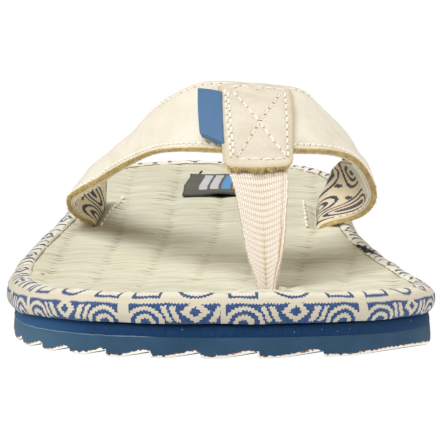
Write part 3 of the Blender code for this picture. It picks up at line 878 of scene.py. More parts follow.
def webbing_material():
    """Cream webbing: fine picks that step from cord to cord, darker between cords, with painted shade
    between the ribs, in the fold's crease and along the selvage.
    """
    graph = Graph("webbing", 0.85, sheen=0.15, specular=0.15)
    cords, length, _ = graph.axes(graph.charted())
    cord = (cords - cords.math("FLOOR") - 0.5).size() * 2.0
    pick = (length * (1.0 / PICK_PITCH) + cords.math("FLOOR") * 0.5).math("FRACT")
    pick = (pick - 0.5).size() * 2.0
    weave = cord * 0.75 + pick * 0.45
    fibres = graph.noise(3.0)
    graph.base(weave.ramp(0.42, 1.1) * 0.7, (0.805, 0.770, 0.720), (0.400, 0.290, 0.180))
    # painted shade between the ribs, along the selvage and in the fold's crease
    graph.coat(graph.painted("painted_shade"), (0.470, 0.330, 0.160))
    graph.coat(fibres.ramp(0.45, 0.75) * 0.2, (0.700, 0.590, 0.470))
    return graph.finish(1.0 - weave * 0.7 + fibres * 0.4, 0.06)


def tag_material():
    """Blue woven tape with a fine twill."""
    graph = Graph("tag_cloth", 0.6, sheen=0.05, specular=0.25)
    x, y, z = graph.axes(graph.place())
    twill = (x + (y + z) * 0.8).repeat(0.5).size()
    wear = graph.noise(0.8)
    graph.base(twill * 2.0, (0.074, 0.160, 0.312), (0.092, 0.192, 0.355))
    graph.coat(wear.ramp(0.55, 0.8) * 0.30, (0.110, 0.215, 0.390))
    return graph.finish(twill, 0.1)


def label_material():
    """Charcoal woven label with plain stripes near its middle."""
    graph = Graph("label_cloth", 0.8, sheen=0.2, specular=0.2)
    u, v, _ = graph.axes(graph.charted())
    thread = u.repeat(0.45).size() + v.repeat(0.9).size() * 0.5
    fray = graph.noise(1.5, place=graph.charted())
    along = u + fray * 0.5
    graph.base(thread, (0.060, 0.060, 0.056), (0.105, 0.104, 0.098))
    inside = (v - STRIPE_MIDDLE).size().below(STRIPE_HALF)
    for middle, half, tone in LABEL_STRIPES:
        graph.coat((along - middle).size().below(half) * inside, tone)
    return graph.finish(thread, 0.12)


def thread_material(name, colour, shade):
    graph = Graph(name, 0.7, sheen=0.2, specular=0.25)
    twist = graph.noise(3.0)
    graph.base(twist.ramp(0.35, 0.7), colour, shade)
    return graph.finish(twist, 0.08)


# Sole

def sole_layer(ring, side, bottom, top):
    rings = []
    for inset, share in side:
        moved = inset_ring(ring, inset)
        low, high = bottom(moved[:, 1]), top(moved[:, 1])
        rings.append(np.column_stack([moved, low + share * (high - low)]))
    return np.vstack(rings), stack_faces(len(rings), len(ring))


def groove_mesh():
    """All the tread's grooves: slanted wedges that follow the sole's underside."""
    axis = np.array([math.sin(GROOVE_SLANT), math.cos(GROOVE_SLANT)])
    across = np.array([axis[1], -axis[0]])
    reach = np.arange(-GROOVE_REACH, GROOVE_REACH + 1.0, GROOVE_STEP)
    below = 3.0
    wedge = ((0.0, -below), (0.0, 0.0), (GROOVE_RAMP, GROOVE_DEPTH), (GROOVE_RAMP, -below))
    count = int(HALF_LENGTH / GROOVE_PITCH)
    block = tube_faces(len(reach), len(wedge))
    block = turned(block[:-2]) + [face[::-1] for face in block[-2:]]
    points, faces = [], []
    for groove in range(-count, count + 1):
        faces += shifted(block, len(points))
        middle = across * (GROOVE_PHASE + groove * GROOVE_PITCH)
        for step in reach:
            for offset, height in wedge:
                x, y = middle + across * offset + axis * step
                points.append((x, y, ground(np.clip(y, -HALF_LENGTH, HALF_LENGTH)) + height))
    mesh = bpy.data.meshes.new("grooves")
    mesh.from_pydata(((np.array(points) + SHIFT) * MM).tolist(), [], faces)
    return mesh


def groove_height(x, y):
    """Height of the tread's face above the sole's underside."""
    across = x * math.cos(GROOVE_SLANT) - y * math.sin(GROOVE_SLANT)
    share = np.mod(across - GROOVE_PHASE, GROOVE_PITCH) / GROOVE_RAMP
    return np.where(share < 1.0, share * GROOVE_DEPTH, 0.0)


def add_outsole(ring):
    points, faces = sole_layer(ring, OUTSOLE_SIDE, ground, outsole_top)
    piece = add_piece("outsole_rubber", points, faces, [rubber_material()], ["outsole"])
    cutter = add_object("grooves", groove_mesh())
    cut_out = piece.modifiers.new("tread", "BOOLEAN")
    cut_out.operation = "DIFFERENCE"
    cut_out.solver = "EXACT"
    cut_out.object = cutter
    bpy.context.view_layer.update()
    piece.data = bpy.data.meshes.new_from_object(piece.evaluated_get(bpy.context.evaluated_depsgraph_get()))
    piece.modifiers.clear()
    bpy.data.objects.remove(cutter)
    piece.data.set_sharp_from_angle(angle=math.radians(TREAD_CREASE))
    places = np.array([vertex.co for vertex in piece.data.vertices]) / MM - SHIFT
    paint(piece, "above", places[:, 2] - ground(places[:, 1]) - groove_height(*places[:, :2].T))
    middles = np.array([face.center for face in piece.data.polygons]) / MM - SHIFT
    inner = np.linalg.norm(middles[:, None, :2] - ring, axis=2).min(axis=1) > EDGE_LINE_DEPTH
    facing_down = np.array([face.normal.z < FACING_DOWN for face in piece.data.polygons])
    paint(piece, "under", OUT_OF_REACH * (inner | facing_down), "FACE")


def add_midsole(ring):
    points, faces = sole_layer(ring, MIDSOLE_SIDE, midsole_bottom, midsole_top)
    materials = [foam_material()]
    add_piece("midsole_foam", points, faces, materials, ["midsole"], MIDSOLE_CREASE)


def add_glue_line(ring):
    """Thin pale bead where midsole and outsole meet; it comes and goes along the side."""
    keys = ring_keys(ring)[:-1]
    hidden = 0.3 * smooth_step((ring[:, 0] + 25.0) / 20.0)
    sunk = 0.10 + 0.12 * soft_noise(keys / 23.0, 0.0, 5) + hidden
    outer, inner = (inset_ring(ring, inset) for inset in GLUE_INSETS)
    moved = outer + (inner - outer) * sunk[:, None]
    wave = 0.12 * soft_noise(keys / 6.0, 0.0, 6)
    line = np.column_stack([moved, outsole_top(moved[:, 1]) + wave])
    tones = ((0.20, 0.28, 0.38), (0.06, 0.12, 0.22))
    add_thread("glue_line", np.vstack([line, line[:2]]), UPRIGHT, 0.13, 5, tones)


# Footbed

def line_distance(x, y, x0, y0, x1, y1):
    """Distance of places from a straight line between two points."""
    dx, dy = x1 - x0, y1 - y0
    share = np.clip(((x - x0) * dx + (y - y0) * dy) / (dx * dx + dy * dy), 0.0, 1.0)
    return np.hypot(x - x0 - share * dx, y - y0 - share * dy)


def slot_distance(x, y):
    """Distance from the nearer one of the two slots that the strap goes into."""
    slots = STRAP_SECTIONS[0], STRAP_SECTIONS[-1]
    return np.minimum(*(line_distance(x, y, *row[0:2], *row[3:5]) for row in slots))


def mat_height(x, y):
    """Large forms of the mat: soft waves, slits for the strap, the pulled-up rim round the toe post."""
    waves = MAT_WAVE * soft_noise(x / 34.0, y / 21.0, 21)
    to_slot = slot_distance(x, y)
    slit = SLIT_LIP * bell(to_slot - LIP_PLACE, LIP_WIDTH) - SLIT_DEPTH * bell(to_slot, SLIT_WIDTH)
    post_x, post_y = POST_SECTIONS[0][:2]
    spread = np.hypot((x - post_x) / POST_STRETCH, y - post_y + 1.0)
    rim = POST_LIP * bell(spread - POST_LIP_PLACE, POST_LIP_WIDTH) - POST_PIT * bell(spread, POST_PIT_WIDTH)
    return waves + slit + rim


def mat_rows(y, end):
    """For each row of points across the mat: y, number of its reed, and share of that reed's width."""
    rng = np.random.default_rng(11)
    rows, reed = [], 0
    while y < end:
        width = rng.uniform(*REED_WIDTHS)
        rows += [(min(y + share * width, end), reed, share) for share in REED_ROWS]
        y, reed = y + width, reed + 1
    return np.array(rows), reed


def warp_count(x, y):
    """Place across the mat counted in warps, whole numbers on a warp."""
    past = y - WARP_BEND
    lean = np.where(past < 0.0, WARP_LEANS[0], WARP_LEANS[1]) * past
    return (x - lean + WARP_PHASE) / WARP_PITCH


def add_footbed():
    inner, outer = split_ring(inset_ring(even_ring(OUTLINE_STEPS), MAT_INSET))
    rows, reeds = mat_rows(outer[0, 1], outer[-1, 1])
    row_y, reed, share = rows.T
    reed = reed.astype(int)
    low_x = np.interp(row_y, outer[:, 1], outer[:, 0])
    high_x = np.interp(row_y, inner[:, 1], inner[:, 0])
    x = low_x[:, None] + (high_x - low_x)[:, None] * np.linspace(0.0, 1.0, MAT_COLUMNS)
    border = np.minimum(x - low_x[:, None], high_x[:, None] - x)
    border = np.minimum(border, np.minimum(row_y - row_y[0], row_y[-1] - row_y)[:, None])
    warp = warp_count(x, row_y[:, None])
    turn = math.pi * (warp + reed[:, None])
    over = np.cos(turn)
    bent = REED_BEND * soft_noise(x / 45.0, reed[:, None] * 0.37, 31) + REED_WEAVE * np.sin(turn)
    y = row_y[:, None] + bent * smooth_step(border / 3.0)
    crest = np.sqrt(1.0 - (2.0 * share[:, None] - 1.0) ** 2)
    pinch = bell((warp - np.round(warp)) * WARP_PITCH, PINCH_WIDTH)
    arch = (0.4 - (2.0 * (warp - np.floor(warp)) - 1.0) ** 2) * smooth_step(border / 6.0)
    rng = np.random.default_rng(12)
    height = rng.normal(0.0, REED_SPREAD, reeds)[reed][:, None]
    lift = REED_HEIGHT * (crest - 0.6) + height + WEAVE_LIFT * over - WARP_PINCH * pinch
    lift += REED_ARCH * arch + BORDER_LIFT * bell(border, BORDER_WIDTH)
    points = np.stack([x, y, footbed_top(y) + lift + mat_height(x, y)], axis=2)
    stretch = (reed[:, None], np.floor(warp).astype(int) + WARP_SPACES // 2)
    spaces = (reeds, WARP_SPACES)
    tone = rng.uniform(0.25, 0.75, reeds)[reed][:, None] + rng.uniform(-0.2, 0.2, spaces)[stretch]
    # painted shade: darker in the gaps between reeds, and where a reed passes under a warp
    gap = 0.16 + 0.5 * rng.uniform(0.0, 1.0, spaces)[stretch] ** 3
    painted_shade = gap * (1.0 - crest) ** 1.5 + 0.26 * pinch ** 2 * (1.0 - over)
    add_mat(points, np.clip(tone, 0.0, 1.0), np.clip(painted_shade, 0.0, 0.85))


def add_mat(points, tone, painted_shade):
    """Closes the mat with a skirt and a plain underside, and paints its reeds' tones and their painted
    shade.
    """
    rows, columns = points.shape[:2]
    faces, _ = grid_faces(rows, columns)
    faces = [face[::-1] for face in faces]
    left, right = points[:, 0].copy(), points[:, -1].copy()
    for skirt in (left, right):
        skirt[:, 2] = footbed_bottom(skirt[:, 1]) + MAT_CLEAR
    low = rows * columns
    for i in range(rows - 1):
        near, far = i * columns, (i + 1) * columns
        faces.append((near, far, low + i + 1, low + i))
        faces.append((far + columns - 1, near + columns - 1, low + rows + i, low + rows + i + 1))
        faces.append((low + i, low + i + 1, low + rows + i + 1, low + rows + i))
    faces.append((*range(columns), low + rows, low))
    faces.append((*range(low - 1, low - columns - 1, -1), low + rows - 1, low + 2 * rows - 1))
    everything = np.vstack([points.reshape(-1, 3), left, right])
    materials = [seagrass_material()]
    piece = add_piece("footbed_mat", everything, faces, materials, ["footbed"], MAT_CREASE)
    spare = np.zeros(2 * rows)
    paint(piece, "tone", np.concatenate([tone.ravel(), spare]))
    paint(piece, "painted_shade", np.concatenate([painted_shade.ravel(), spare]))


# Binding

def binding_section():
    """Section of the binding from its hem on the midsole, round the edge, to the seam on the footbed."""
    radius = ROLL_RADIUS + GAP + CANVAS_THICK
    centre = radius
    section = []
    for angle in np.linspace(math.asin(ROLL_RADIUS / radius), 0.0, 9):
        section.append((centre - radius * math.cos(angle), 0.0, ROLL_RADIUS - radius * math.sin(angle)))
    for angle in np.linspace(0.0, math.pi / 2.0, 15):
        section.append((centre - radius * math.cos(angle), 1.0, radius * math.sin(angle) - ROLL_RADIUS))
    top = GAP + CANVAS_THICK
    section += [(centre + 0.4, 1.0, top - 0.08), (SEAM_INSET - 0.3, 1.0, top - 0.35)]
    section += [(SEAM_INSET - 0.05, 1.0, top - 0.65), (SEAM_INSET, 1.0, 0.4), (SEAM_INSET - 0.1, 1.0, -0.2)]
    return np.array(section)


def binding_surface(count):
    """Points [level, around] on the outside of the binding, and its chart in millimetres."""
    ring = even_ring(count)
    section = binding_section()
    levels = []
    for inset, anchor, height in section:
        moved = inset_ring(ring, inset)
        low, high = footbed_bottom(moved[:, 1]), footbed_top(moved[:, 1])
        level = anchor * FOOTBED_THICK + height
        share, past = min(level / FOOTBED_THICK, 1.0), max(level - FOOTBED_THICK, 0.0)
        levels.append(np.column_stack([moved, low + (share * (high - low) + past)]))
    levels = np.array(levels)
    around = np.roll(levels, -1, axis=1) - np.roll(levels, 1, axis=1)
    upwards = np.gradient(levels, axis=0)
    normal = unit(np.cross(around, upwards))
    u = np.linspace(0.0, ring_keys(ring)[-1], count + 1)
    v = chord_keys(levels[:, count // 4])
    relief = binding_relief(levels, u[:-1], v[:, None])
    places = np.stack(np.broadcast_arrays(u[None], v[:, None]), axis=2)
    return levels + normal * relief[:, :, None], places


def binding_relief(levels, u, v):
    """Outward swell of the canvas: slack ripples, puckers at the seam, and the deep crease."""
    ripples = RIPPLES[0] * soft_noise(u / 17.0, v / 9.0, 41) + RIPPLES[1] * soft_noise(u / 5.0, v / 6.0, 42)
    pull = bell(v - v.max() + 1.6, 3.0)
    puckers = PUCKERS * pull * soft_noise(u / 6.5, v / 30.0, 43)
    to_fold = levels[:, :, :2] - np.array(FOLD_PLACE)
    along = unit(np.array(FOLD_COURSE))
    length = to_fold @ along
    across = to_fold @ np.array([along[1], -along[0]])
    fold = -FOLD_DEPTH * bell(length, FOLD_HALF_LENGTH) * bell(across, FOLD_HALF_WIDTH)
    fold += FOLD_LIP * bell(length, FOLD_HALF_LENGTH) * bell(across - 2.6, 1.3)
    on_top = smooth_step((v - 0.4 * v.max()) / 3.0)
    to_corner = levels[:, :, :2] - np.array(PUFFED_CORNER)
    swell = PUFF * bell(np.hypot(*to_corner.transpose(2, 0, 1)), PUFF_REACH)
    return ripples + puckers + fold * on_top + swell


def add_binding():
    points, places = binding_surface(BINDING_STEPS)
    faces, corners = grid_faces(*points.shape[:2], wrap=True)
    faces = [face[::-1] for face in faces]
    nearest = np.hypot(*(points[CREASE_LEVEL, :, :2] - FOLD_PLACE).T).argmin()
    # painted shade: a near-black oval inside the deep crease, darker than the ink
    crease = (*places[CREASE_LEVEL, nearest], *CREASE_SHADE_OVAL, (0.012, 0.016, 0.035))
    # painted light: the canvas is darker on the roll's front face (cloth, ink) and lighter towards the seam
    # on top (lit_top), as the light falls
    lit_top = ((0.850, 0.820, 0.735), (0.055, 0.075, 0.130))
    length = float(places[0, -1, 0])

    def pattern(u, v):
        return border_print(u, v, length)

    cloth, ink = (0.600, 0.555, 0.450), (0.014, 0.062, 0.205)
    material = canvas_material("printed_canvas", cloth, ink, pattern, crease, lit_top)
    piece = add_piece("edge_binding_canvas", points, faces, [material], ["edge_binding"])
    corner_places = places[corners[:, 0], corners[:, 1]].reshape(-1, 4, 2)[:, ::-1]
    chart(piece, corner_places)
    thicken(piece, CANVAS_WALL)


def add_seam_thread():
    """Dark thread in the seam between binding and mat."""
    ring = inset_ring(even_ring(SEAM_STEPS), SEAM_INSET + 0.12)
    wave = 0.14 * soft_noise(ring_keys(ring)[:-1] / 4.0, 0.0, 51)
    line = np.column_stack([ring + wave[:, None] * 0.6, footbed_top(ring[:, 1]) + 0.75 + wave])
    tones = ((0.30, 0.20, 0.09), (0.13, 0.10, 0.06))
    add_thread("seam_thread", np.vstack([line, line[:2]]), UPRIGHT, 0.11, 6, tones)


# Strap

def strap_rows():
    rows = np.array(STRAP_SECTIONS)
    rows[:, 2] += footbed_top(rows[:, 1])
    rows[:, 5] += footbed_top(rows[:, 4])
    return rows


def strap_keys():
    rows = strap_rows()
    return chord_keys((rows[:, :3] + rows[:, 3:]) / 2.0)


def strap_edges(along):
    """Points of the band's front and rear edge, for lengths in an array of any shape."""
    along = np.asarray(along, float)
    edges = spline(strap_keys(), strap_rows(), along.ravel()).reshape(*along.shape, 6)
    return edges[..., :3], edges[..., 3:]


def strap_point(along, share):
    """Middle of the band's wall: along its length in mm, and by share of its width."""
    front, rear = strap_edges(along)
    return front + (rear - front) * share[..., None]


def strap_normal(along, share):
    ahead = strap_point(along + 0.2, share) - strap_point(along - 0.2, share)
    aside = strap_point(along, share + 0.01) - strap_point(along, share - 0.01)
    return unit(np.cross(ahead, aside))


def strap_surface(along, share, offset=0.0):
    """Point on the band or above it; the middle bulges, and the rear edge rolls down on the arms."""
    along, share = np.broadcast_arrays(np.asarray(along, float), np.asarray(share, float))
    inside = np.clip(share, 0.0, 1.0)
    keys = strap_keys()
    free = smooth_step((along - keys[1]) / CROWN_FADE) * smooth_step((keys[-2] - along) / CROWN_FADE)
    bulge = STRAP_CROWN * 4.0 * inside * (1.0 - inside)
    roll = 0.0
    for side, (drop, begin, grow) in ((-1.0, OUTER_ROLL), (1.0, INNER_ROLL)):
        roll = roll + drop * smooth_step((side * (along - keys[TAB_SECTION]) - begin) / grow)
    roll = roll * np.clip((share - 1.0 + ROLL_SHARE) / ROLL_SHARE, 0.0, 1.0) ** 2
    lift = (bulge - roll) * free + offset
    return strap_point(along, share) + strap_normal(along, share) * lift[..., None]


def band_width(along):
    front, rear = strap_edges(along)
    return np.linalg.norm(rear - front, axis=-1)


def tab_middle():
    return strap_keys()[TAB_SECTION]


def strap_relief(along, share):
    """Outward swell of the leather: creases, furrows under the stitch rows, soft lumps."""
    width = band_width(along)
    relief = STRAP_LUMPS * soft_noise(along / 30.0, share * width / 18.0, 61)
    for place, middle, half_length, half_width, height, turn in STRAP_CREASES:
        a = along - tab_middle() - place
        b = (share - middle) * width
        turn = math.radians(turn)
        length = a * math.cos(turn) + b * math.sin(turn)
        across = b * math.cos(turn) - a * math.sin(turn)
        relief += height * bell(length, half_length) * bell(across, half_width)
    for to_row in (share * width - FRONT_ROW, (1.0 - share) * width - REAR_ROW):
        relief -= FURROW_DEPTH * bell(to_row, FURROW_WIDTH)
    return relief


def strap_grid(steps, across):
    keys = strap_keys()
    alongs = np.interp(np.linspace(0.0, len(keys) - 1.0, steps + 1), np.arange(len(keys)), keys)
    along, share = np.meshgrid(alongs, np.linspace(0.0, 1.0, across + 1), indexing="ij")
    return along, share


def leather_back(along):
    """Offset of the leather's flesh side; the leather thins towards the slots."""
    keys = strap_keys()
    to_slot = np.minimum(along - keys[1], keys[-2] - along)
    left = SLOT_SHARE + (1.0 - SLOT_SHARE) * smooth_step(to_slot / THINNING)
    return STRAP_THICK / 2.0 - LEATHER_THICK * left


def add_strap():
    """Nubuck band, its flesh side and cut edges showing as raw leather."""
    along, share = strap_grid(*STRAP_GRID)
    relief = strap_relief(along, share)
    frayed = share + EDGE_FRAY * soft_noise(along / 2.4, 0.0, 62) * (1.0 - share) ** 12
    front = strap_surface(along, frayed, STRAP_THICK / 2.0 + relief)
    back = strap_surface(along, frayed, leather_back(along) + relief * 0.7)
    nubuck = nubuck_material("band_nubuck", (0.710, 0.675, 0.590), (0.775, 0.745, 0.665))
    materials = [nubuck, raw_edge_material()]
    piece = slab("strap_leather", front, back, materials, ["strap"], 0.15)
    edge = np.minimum(share, 1.0 - share) * band_width(along)
    paint(piece, "edge_tan_and_shade", np.concatenate([bell(edge, 0.4), np.zeros_like(edge)]))
    return materials[1]


def add_lining():
    """Printed canvas glued inside the band, a little short of its edges."""
    along, share = strap_grid(*LINING_GRID)
    width = band_width(along)
    inset = LINING_INSET / width
    share = inset + share * (1.0 - 2.0 * inset)
    relief = strap_relief(along, share) * 0.8
    points = strap_surface(along, share, leather_back(along) - LINING_GAP + relief)
    places = np.stack([along, share * width], axis=2)
    cloth, ink = (0.790, 0.690, 0.510), (0.022, 0.028, 0.070)
    bare = (*BARE_LINING, (0.770, 0.775, 0.715))
    material = canvas_material("lining_canvas", cloth, ink, lining_print, bare)
    piece = grid_piece("strap_lining", points, places, material)
    thicken(piece, LINING_THICK)


# Sewing

def stitches(points, normals, threads, holes, pitch=STITCH_PITCH, radius=THREAD_RADIUS, hole=HOLE_RADIUS,
             part=STITCH_SHARE):
    """Adds one thread for each stitch along a row of surface points, and a needle hole at its end."""
    keys = chord_keys(points)
    count = int(keys[-1] / pitch)
    length = pitch * part
    shares = np.linspace(0.0, 1.0, 7)
    radii = radius * np.array([0.35, 0.8, 1.0, 1.0, 1.0, 0.8, 0.35])
    for i in range(count):
        start = (i + 0.5) * keys[-1] / count - length / 2.0
        at = start + shares * length
        normal = unit(along_line(normals, keys, at))
        bow = THREAD_BOW * np.sin(math.pi * shares) - THREAD_SINK
        threads.append(tube_points(along_line(points, keys, at) + normal * bow[:, None], normal, radii))
        spot = np.array([at[-1] + (pitch - length) / 2.0] * 2)
        normal = unit(along_line(normals, keys, spot))
        stem = along_line(points, keys, spot) + normal * np.array(HOLE_ENDS)[:, None]
        sideways = np.tile(points[-1] - points[0], (2, 1))
        holes.append(tube_points(stem, sideways, np.array([1.2, 1.0]) * hole))


def outer_row(start, end, rear=False):
    """Points and normals of a stitch row outside the band, along its front or rear edge."""
    along = np.linspace(start, end, ROW_STEPS)
    width = band_width(along)
    share = 1.0 - REAR_ROW / width if rear else FRONT_ROW / width
    lift = STRAP_THICK / 2.0 + strap_relief(along, share)
    return strap_surface(along, share, lift), strap_normal(along, share)


def inner_row(start, end):
    """The same on the lining, along the band's front edge."""
    along = np.linspace(start, end, ROW_STEPS)
    share = INNER_ROW / band_width(along)
    depth = leather_back(along) - LINING_GAP - LINING_THICK + strap_relief(along, share)
    return strap_surface(along, share, depth), -strap_normal(along, share)


def tab_stretch():
    """Length along the band that spans one millimetre of the tab's width."""
    middle = tab_middle()
    ends = strap_point(np.array([middle - 1.0, middle + 1.0]), np.array([0.5, 0.5]))
    return 2.0 / np.linalg.norm(ends[1] - ends[0])


def tab_relief(x, y):
    """Outward swell of the tab: furrows along its stitch rows, padded between them."""
    relief = TAB_LUMPS * soft_noise(x / 9.0, y / 9.0, 71)
    furrow = np.zeros_like(x)
    for row in TAB_ROWS:
        furrow = np.maximum(furrow, bell(line_distance(x, y, *row[:4]), FURROW_WIDTH))
    wrinkled = bell(y - 33.0, 3.0) * bell(x + 4.0, 4.0)
    wrinkles = TAB_WRINKLES * wrinkled * soft_noise(x / 4.0 + y / 6.0, y / 5.0, 72)
    to_edges = tab_half_width(x, y) - np.abs(x), y, y - tab_length()
    edges = sum(drop * bell(to_edge, width) for to_edge, (drop, width) in zip(to_edges, TAB_EDGES))
    return relief + wrinkles - TAB_FURROW * furrow - edges


def tab_surface(x, y, offset=0.0):
    """Point on the tab's outer face, from its own plane: x from its middle, y from its front edge."""
    lift = STRAP_THICK / 2.0 + GAP + TAB_THICK + offset
    along = tab_middle() + x * tab_stretch()
    share = TAB_FRONT + y / band_width(tab_middle())
    return strap_surface(along, share, lift), strap_normal(along, share)


def tab_half_width(x, y):
    """Reach of the tab to the side that x lies on, behind its rounded corners."""
    return TAB_HALF_WIDTH + np.where(x < 0.0, TAB_LEAN * y / tab_length(), 0.0)


def tab_length():
    return (TAB_REAR - TAB_FRONT) * band_width(tab_middle())


def add_tab(raw_edge):
    """Tab over the band's middle, with rounded front corners and a raw edge."""
    # painted shade: the tab's nubuck is a darker copy of the band's, offsetting the key light that falls
    # square on the tab
    materials = [nubuck_material("tab_nubuck", (0.640, 0.596, 0.510), (0.706, 0.661, 0.577)), raw_edge]
    length = tab_length()
    ys = np.concatenate([TAB_CORNER * (1.0 - np.cos(np.linspace(0.0, math.pi / 2.0, 14))),
                         np.linspace(TAB_CORNER, length, 70)[1:]])
    left = np.clip(1.0 - ys / TAB_CORNER, 0.0, 1.0)
    side = np.linspace(-1.0, 1.0, 45)
    y = np.broadcast_to(ys[:, None], (len(ys), len(side)))
    half = tab_half_width(side, y) - TAB_CORNER * (1.0 - np.sqrt(1.0 - left ** 2))[:, None]
    x = half * side
    depth = TAB_THICK * (0.75 + 0.25 * smooth_step(y / 5.0))
    front, back = (tab_surface(x, y, lift)[0][:, ::-1] for lift in (tab_relief(x, y), -depth))
    piece = slab("strap_tab_leather", front, back, materials, ["strap_tab"], 0.4)
    edge = np.minimum(half - np.abs(x), y)
    paint(piece, "edge_tan_and_shade", np.concatenate([bell(edge, 0.8)[:, ::-1], np.zeros_like(edge)]))


def add_stitching():
    threads, holes = [], []
    keys = strap_keys()
    reach = TAB_HALF_WIDTH * tab_stretch()
    first, last = keys[1] + ROW_START, keys[-2] - ROW_START
    for start, end in ((first, tab_middle() - reach), (tab_middle() + reach, last)):
        stitches(*outer_row(start, end), threads, holes, radius=FRONT_THREAD, hole=FRONT_HOLE)
        near = np.clip((start, end), tab_middle() - REAR_HOLES, tab_middle() + REAR_HOLES)
        stitches(*outer_row(*near, rear=True), threads, holes)
        far = (start, near[0]) if start < near[0] else (near[1], end)
        stitches(*outer_row(*far, rear=True), threads, [])
    for start, end in ((first, keys[5]), (keys[10], last)):
        stitches(*inner_row(start, end), threads, holes, radius=INNER_THREAD)
    for x0, y0, x1, y1, radius, hole in TAB_ROWS:
        x, y = np.linspace((x0, y0), (x1, y1), SHORT_ROW_STEPS).T
        stitches(*tab_surface(x, y, tab_relief(x, y)), threads, holes, TAB_PITCH, radius, hole)
    for x0, y0, x1, y1 in MAT_ROWS:
        x, y = np.linspace((x0, y0), (x1, y1), SHORT_ROW_STEPS).T
        upright = np.tile(UPRIGHT, (len(x), 1))
        row = np.column_stack([x, y, footbed_top(y) + mat_height(x, y) + MAT_THREAD_LIFT])
        stitches(row, upright, threads, [], MAT_PITCH, MAT_THREAD, part=MAT_SHARE)
    thread = thread_material("sewing_thread", (0.900, 0.870, 0.790), (0.780, 0.735, 0.635))
    # the needle holes' dark tan is the leather inside them with painted shade, on plugs that stand in for
    # the holes
    needle = thread_material("needle_holes", (0.340, 0.260, 0.120), (0.430, 0.340, 0.175))
    add_tubes("stitches", threads, thread)
    add_tubes("needle_holes", holes, needle)


def hairs(roots, aims, lengths, seed):
    """Short bent fibres from root points."""
    rng = np.random.default_rng(seed)
    tubes = []
    for root, aim, length in zip(roots, aims, lengths):
        bend = rng.normal(0.0, 0.35, 3)
        shares = np.array([0.0, 0.5, 1.0])[:, None]
        line = root + aim * length * shares + bend * length * shares ** 2
        sideways = np.tile(np.cross(aim, bend) + 1e-3, (3, 1))
        tubes.append(tube_points(line, sideways, HAIR_RADIUS * np.array([1.0, 0.8, 0.25]), 3))
    return tubes


def add_tab_fuzz():
    """Loose fibres along the tab's cut front edge."""
    rng = np.random.default_rng(81)
    x = rng.uniform(-TAB_HALF_WIDTH + 0.8, TAB_HALF_WIDTH - 0.8, TAB_HAIRS)
    corner = np.clip(np.abs(x) - TAB_HALF_WIDTH + TAB_CORNER, 0.0, TAB_CORNER)
    y = TAB_CORNER - np.sqrt(TAB_CORNER ** 2 - corner ** 2) + 0.1
    depth = rng.uniform(-0.8 * TAB_THICK, -0.8, TAB_HAIRS)
    roots, normals = tab_surface(x, y, depth)
    ahead, _ = tab_surface(x, y - 1.0, depth)
    aims = unit(unit(ahead - roots) + normals * rng.uniform(-1.0, 0.1, (TAB_HAIRS, 1)))
    tufts = 0.7 + 0.4 * soft_noise(x / 2.5, 0.0, 83)
    lengths = rng.uniform(*TAB_HAIR_LENGTHS, TAB_HAIRS) * tufts
    material = thread_material("tan_fibres", (0.80, 0.65, 0.32), (0.44, 0.32, 0.11))
    add_tubes("tab_fibres", hairs(roots, aims, lengths, 82), material)


def add_edge_fuzz():
    """Short fibres along the band's cut front edge on both arms, longer near the slots."""
    rng = np.random.default_rng(85)
    keys = strap_keys()
    along = rng.uniform(keys[1], keys[-2], BAND_HAIRS)
    along = along[np.abs(along - tab_middle()) > TAB_HALF_WIDTH * tab_stretch()]
    count = len(along)
    share = np.zeros(count)
    back = leather_back(along)
    depth = back + (STRAP_THICK / 2.0 - back) * rng.uniform(0.05, 0.95, count) + strap_relief(along, share)
    roots = strap_surface(along, share, depth)
    outwards = unit(strap_surface(along, share - 0.03, depth) - roots)
    aims = unit(outwards + strap_normal(along, share) * rng.uniform(-1.0, 1.0, (count, 1)))
    near_slot = bell(np.minimum(along - keys[1], keys[-2] - along), 6.0)
    lengths = rng.uniform(*BAND_HAIR_LENGTHS, count) * (1.0 + near_slot)
    material = thread_material("edge_fibres", (0.70, 0.56, 0.29), (0.50, 0.375, 0.165))
    add_tubes("band_fibres", hairs(roots, aims, lengths, 86), material)


# Tag

def add_tag():
    """Folded tape caught under the tab's outer edge, bare on its face."""
    stretch = tab_stretch()
    hinge = tab_middle() - (TAB_HALF_WIDTH - TAG_TUCK) * stretch
    outs = np.linspace(0.0, 1.0, 15)
    share = np.linspace(TAG_FRONT, TAG_REAR, 41)
    out, share = np.meshgrid(outs, share, indexing="ij")
    skew = (TAG_SKEWS[0] + TAG_SKEWS[1] * (TAG_REAR - share) / (TAG_REAR - TAG_FRONT)) * (1.0 - out)
    lift = STRAP_THICK / 2.0 + GAP + TAG_THICK + TAG_STANDOFF * out + TAG_BOW * np.sin(math.pi * out)
    along = hinge - out * TAG_WIDTH * stretch
    front, back = (strap_surface(along, share - skew, lift - depth)[::-1] for depth in (0.0, TAG_THICK))
    slab("side_tag_tape", front, back, [tag_material()], ["side_tag"], 0.3)


# Toe post

def post_rows():
    """Table of the post's sections with real heights, ended by its stretch under the arched tab."""
    rows = np.array(POST_SECTIONS)
    rows[:, 2] += footbed_top(rows[:, 1])
    shares = np.array(POST_TOP_SHARES)
    middle = np.full(len(shares), tab_middle())
    reach = POST_TOP_HALF_WIDTH * tab_stretch()
    flush = (STRAP_THICK - POST_THICK) / 2.0 - POST_TUCK
    centre = strap_surface(middle, shares, flush)
    left, right = (strap_surface(middle + side * reach, shares, flush) for side in (-1.0, 1.0))
    edges = (left + right) / 2.0
    normal = strap_normal(middle, shares)
    sag = np.sum((centre - edges) * normal, axis=1)
    widths = np.full(len(shares), POST_TOP_HALF_WIDTH)
    top = np.column_stack([centre - normal * sag[:, None], widths, -sag])
    return np.vstack([rows, top])


def rib_bow(share, length, total):
    """How far a rib's line sags at this place: most in its middle and towards the post's foot."""
    fade = 1.0 - 0.55 * smooth_step((length / total - 0.55) / 0.4)
    return RIB_BOW * fade * (1.0 - np.abs(share) ** 1.5)


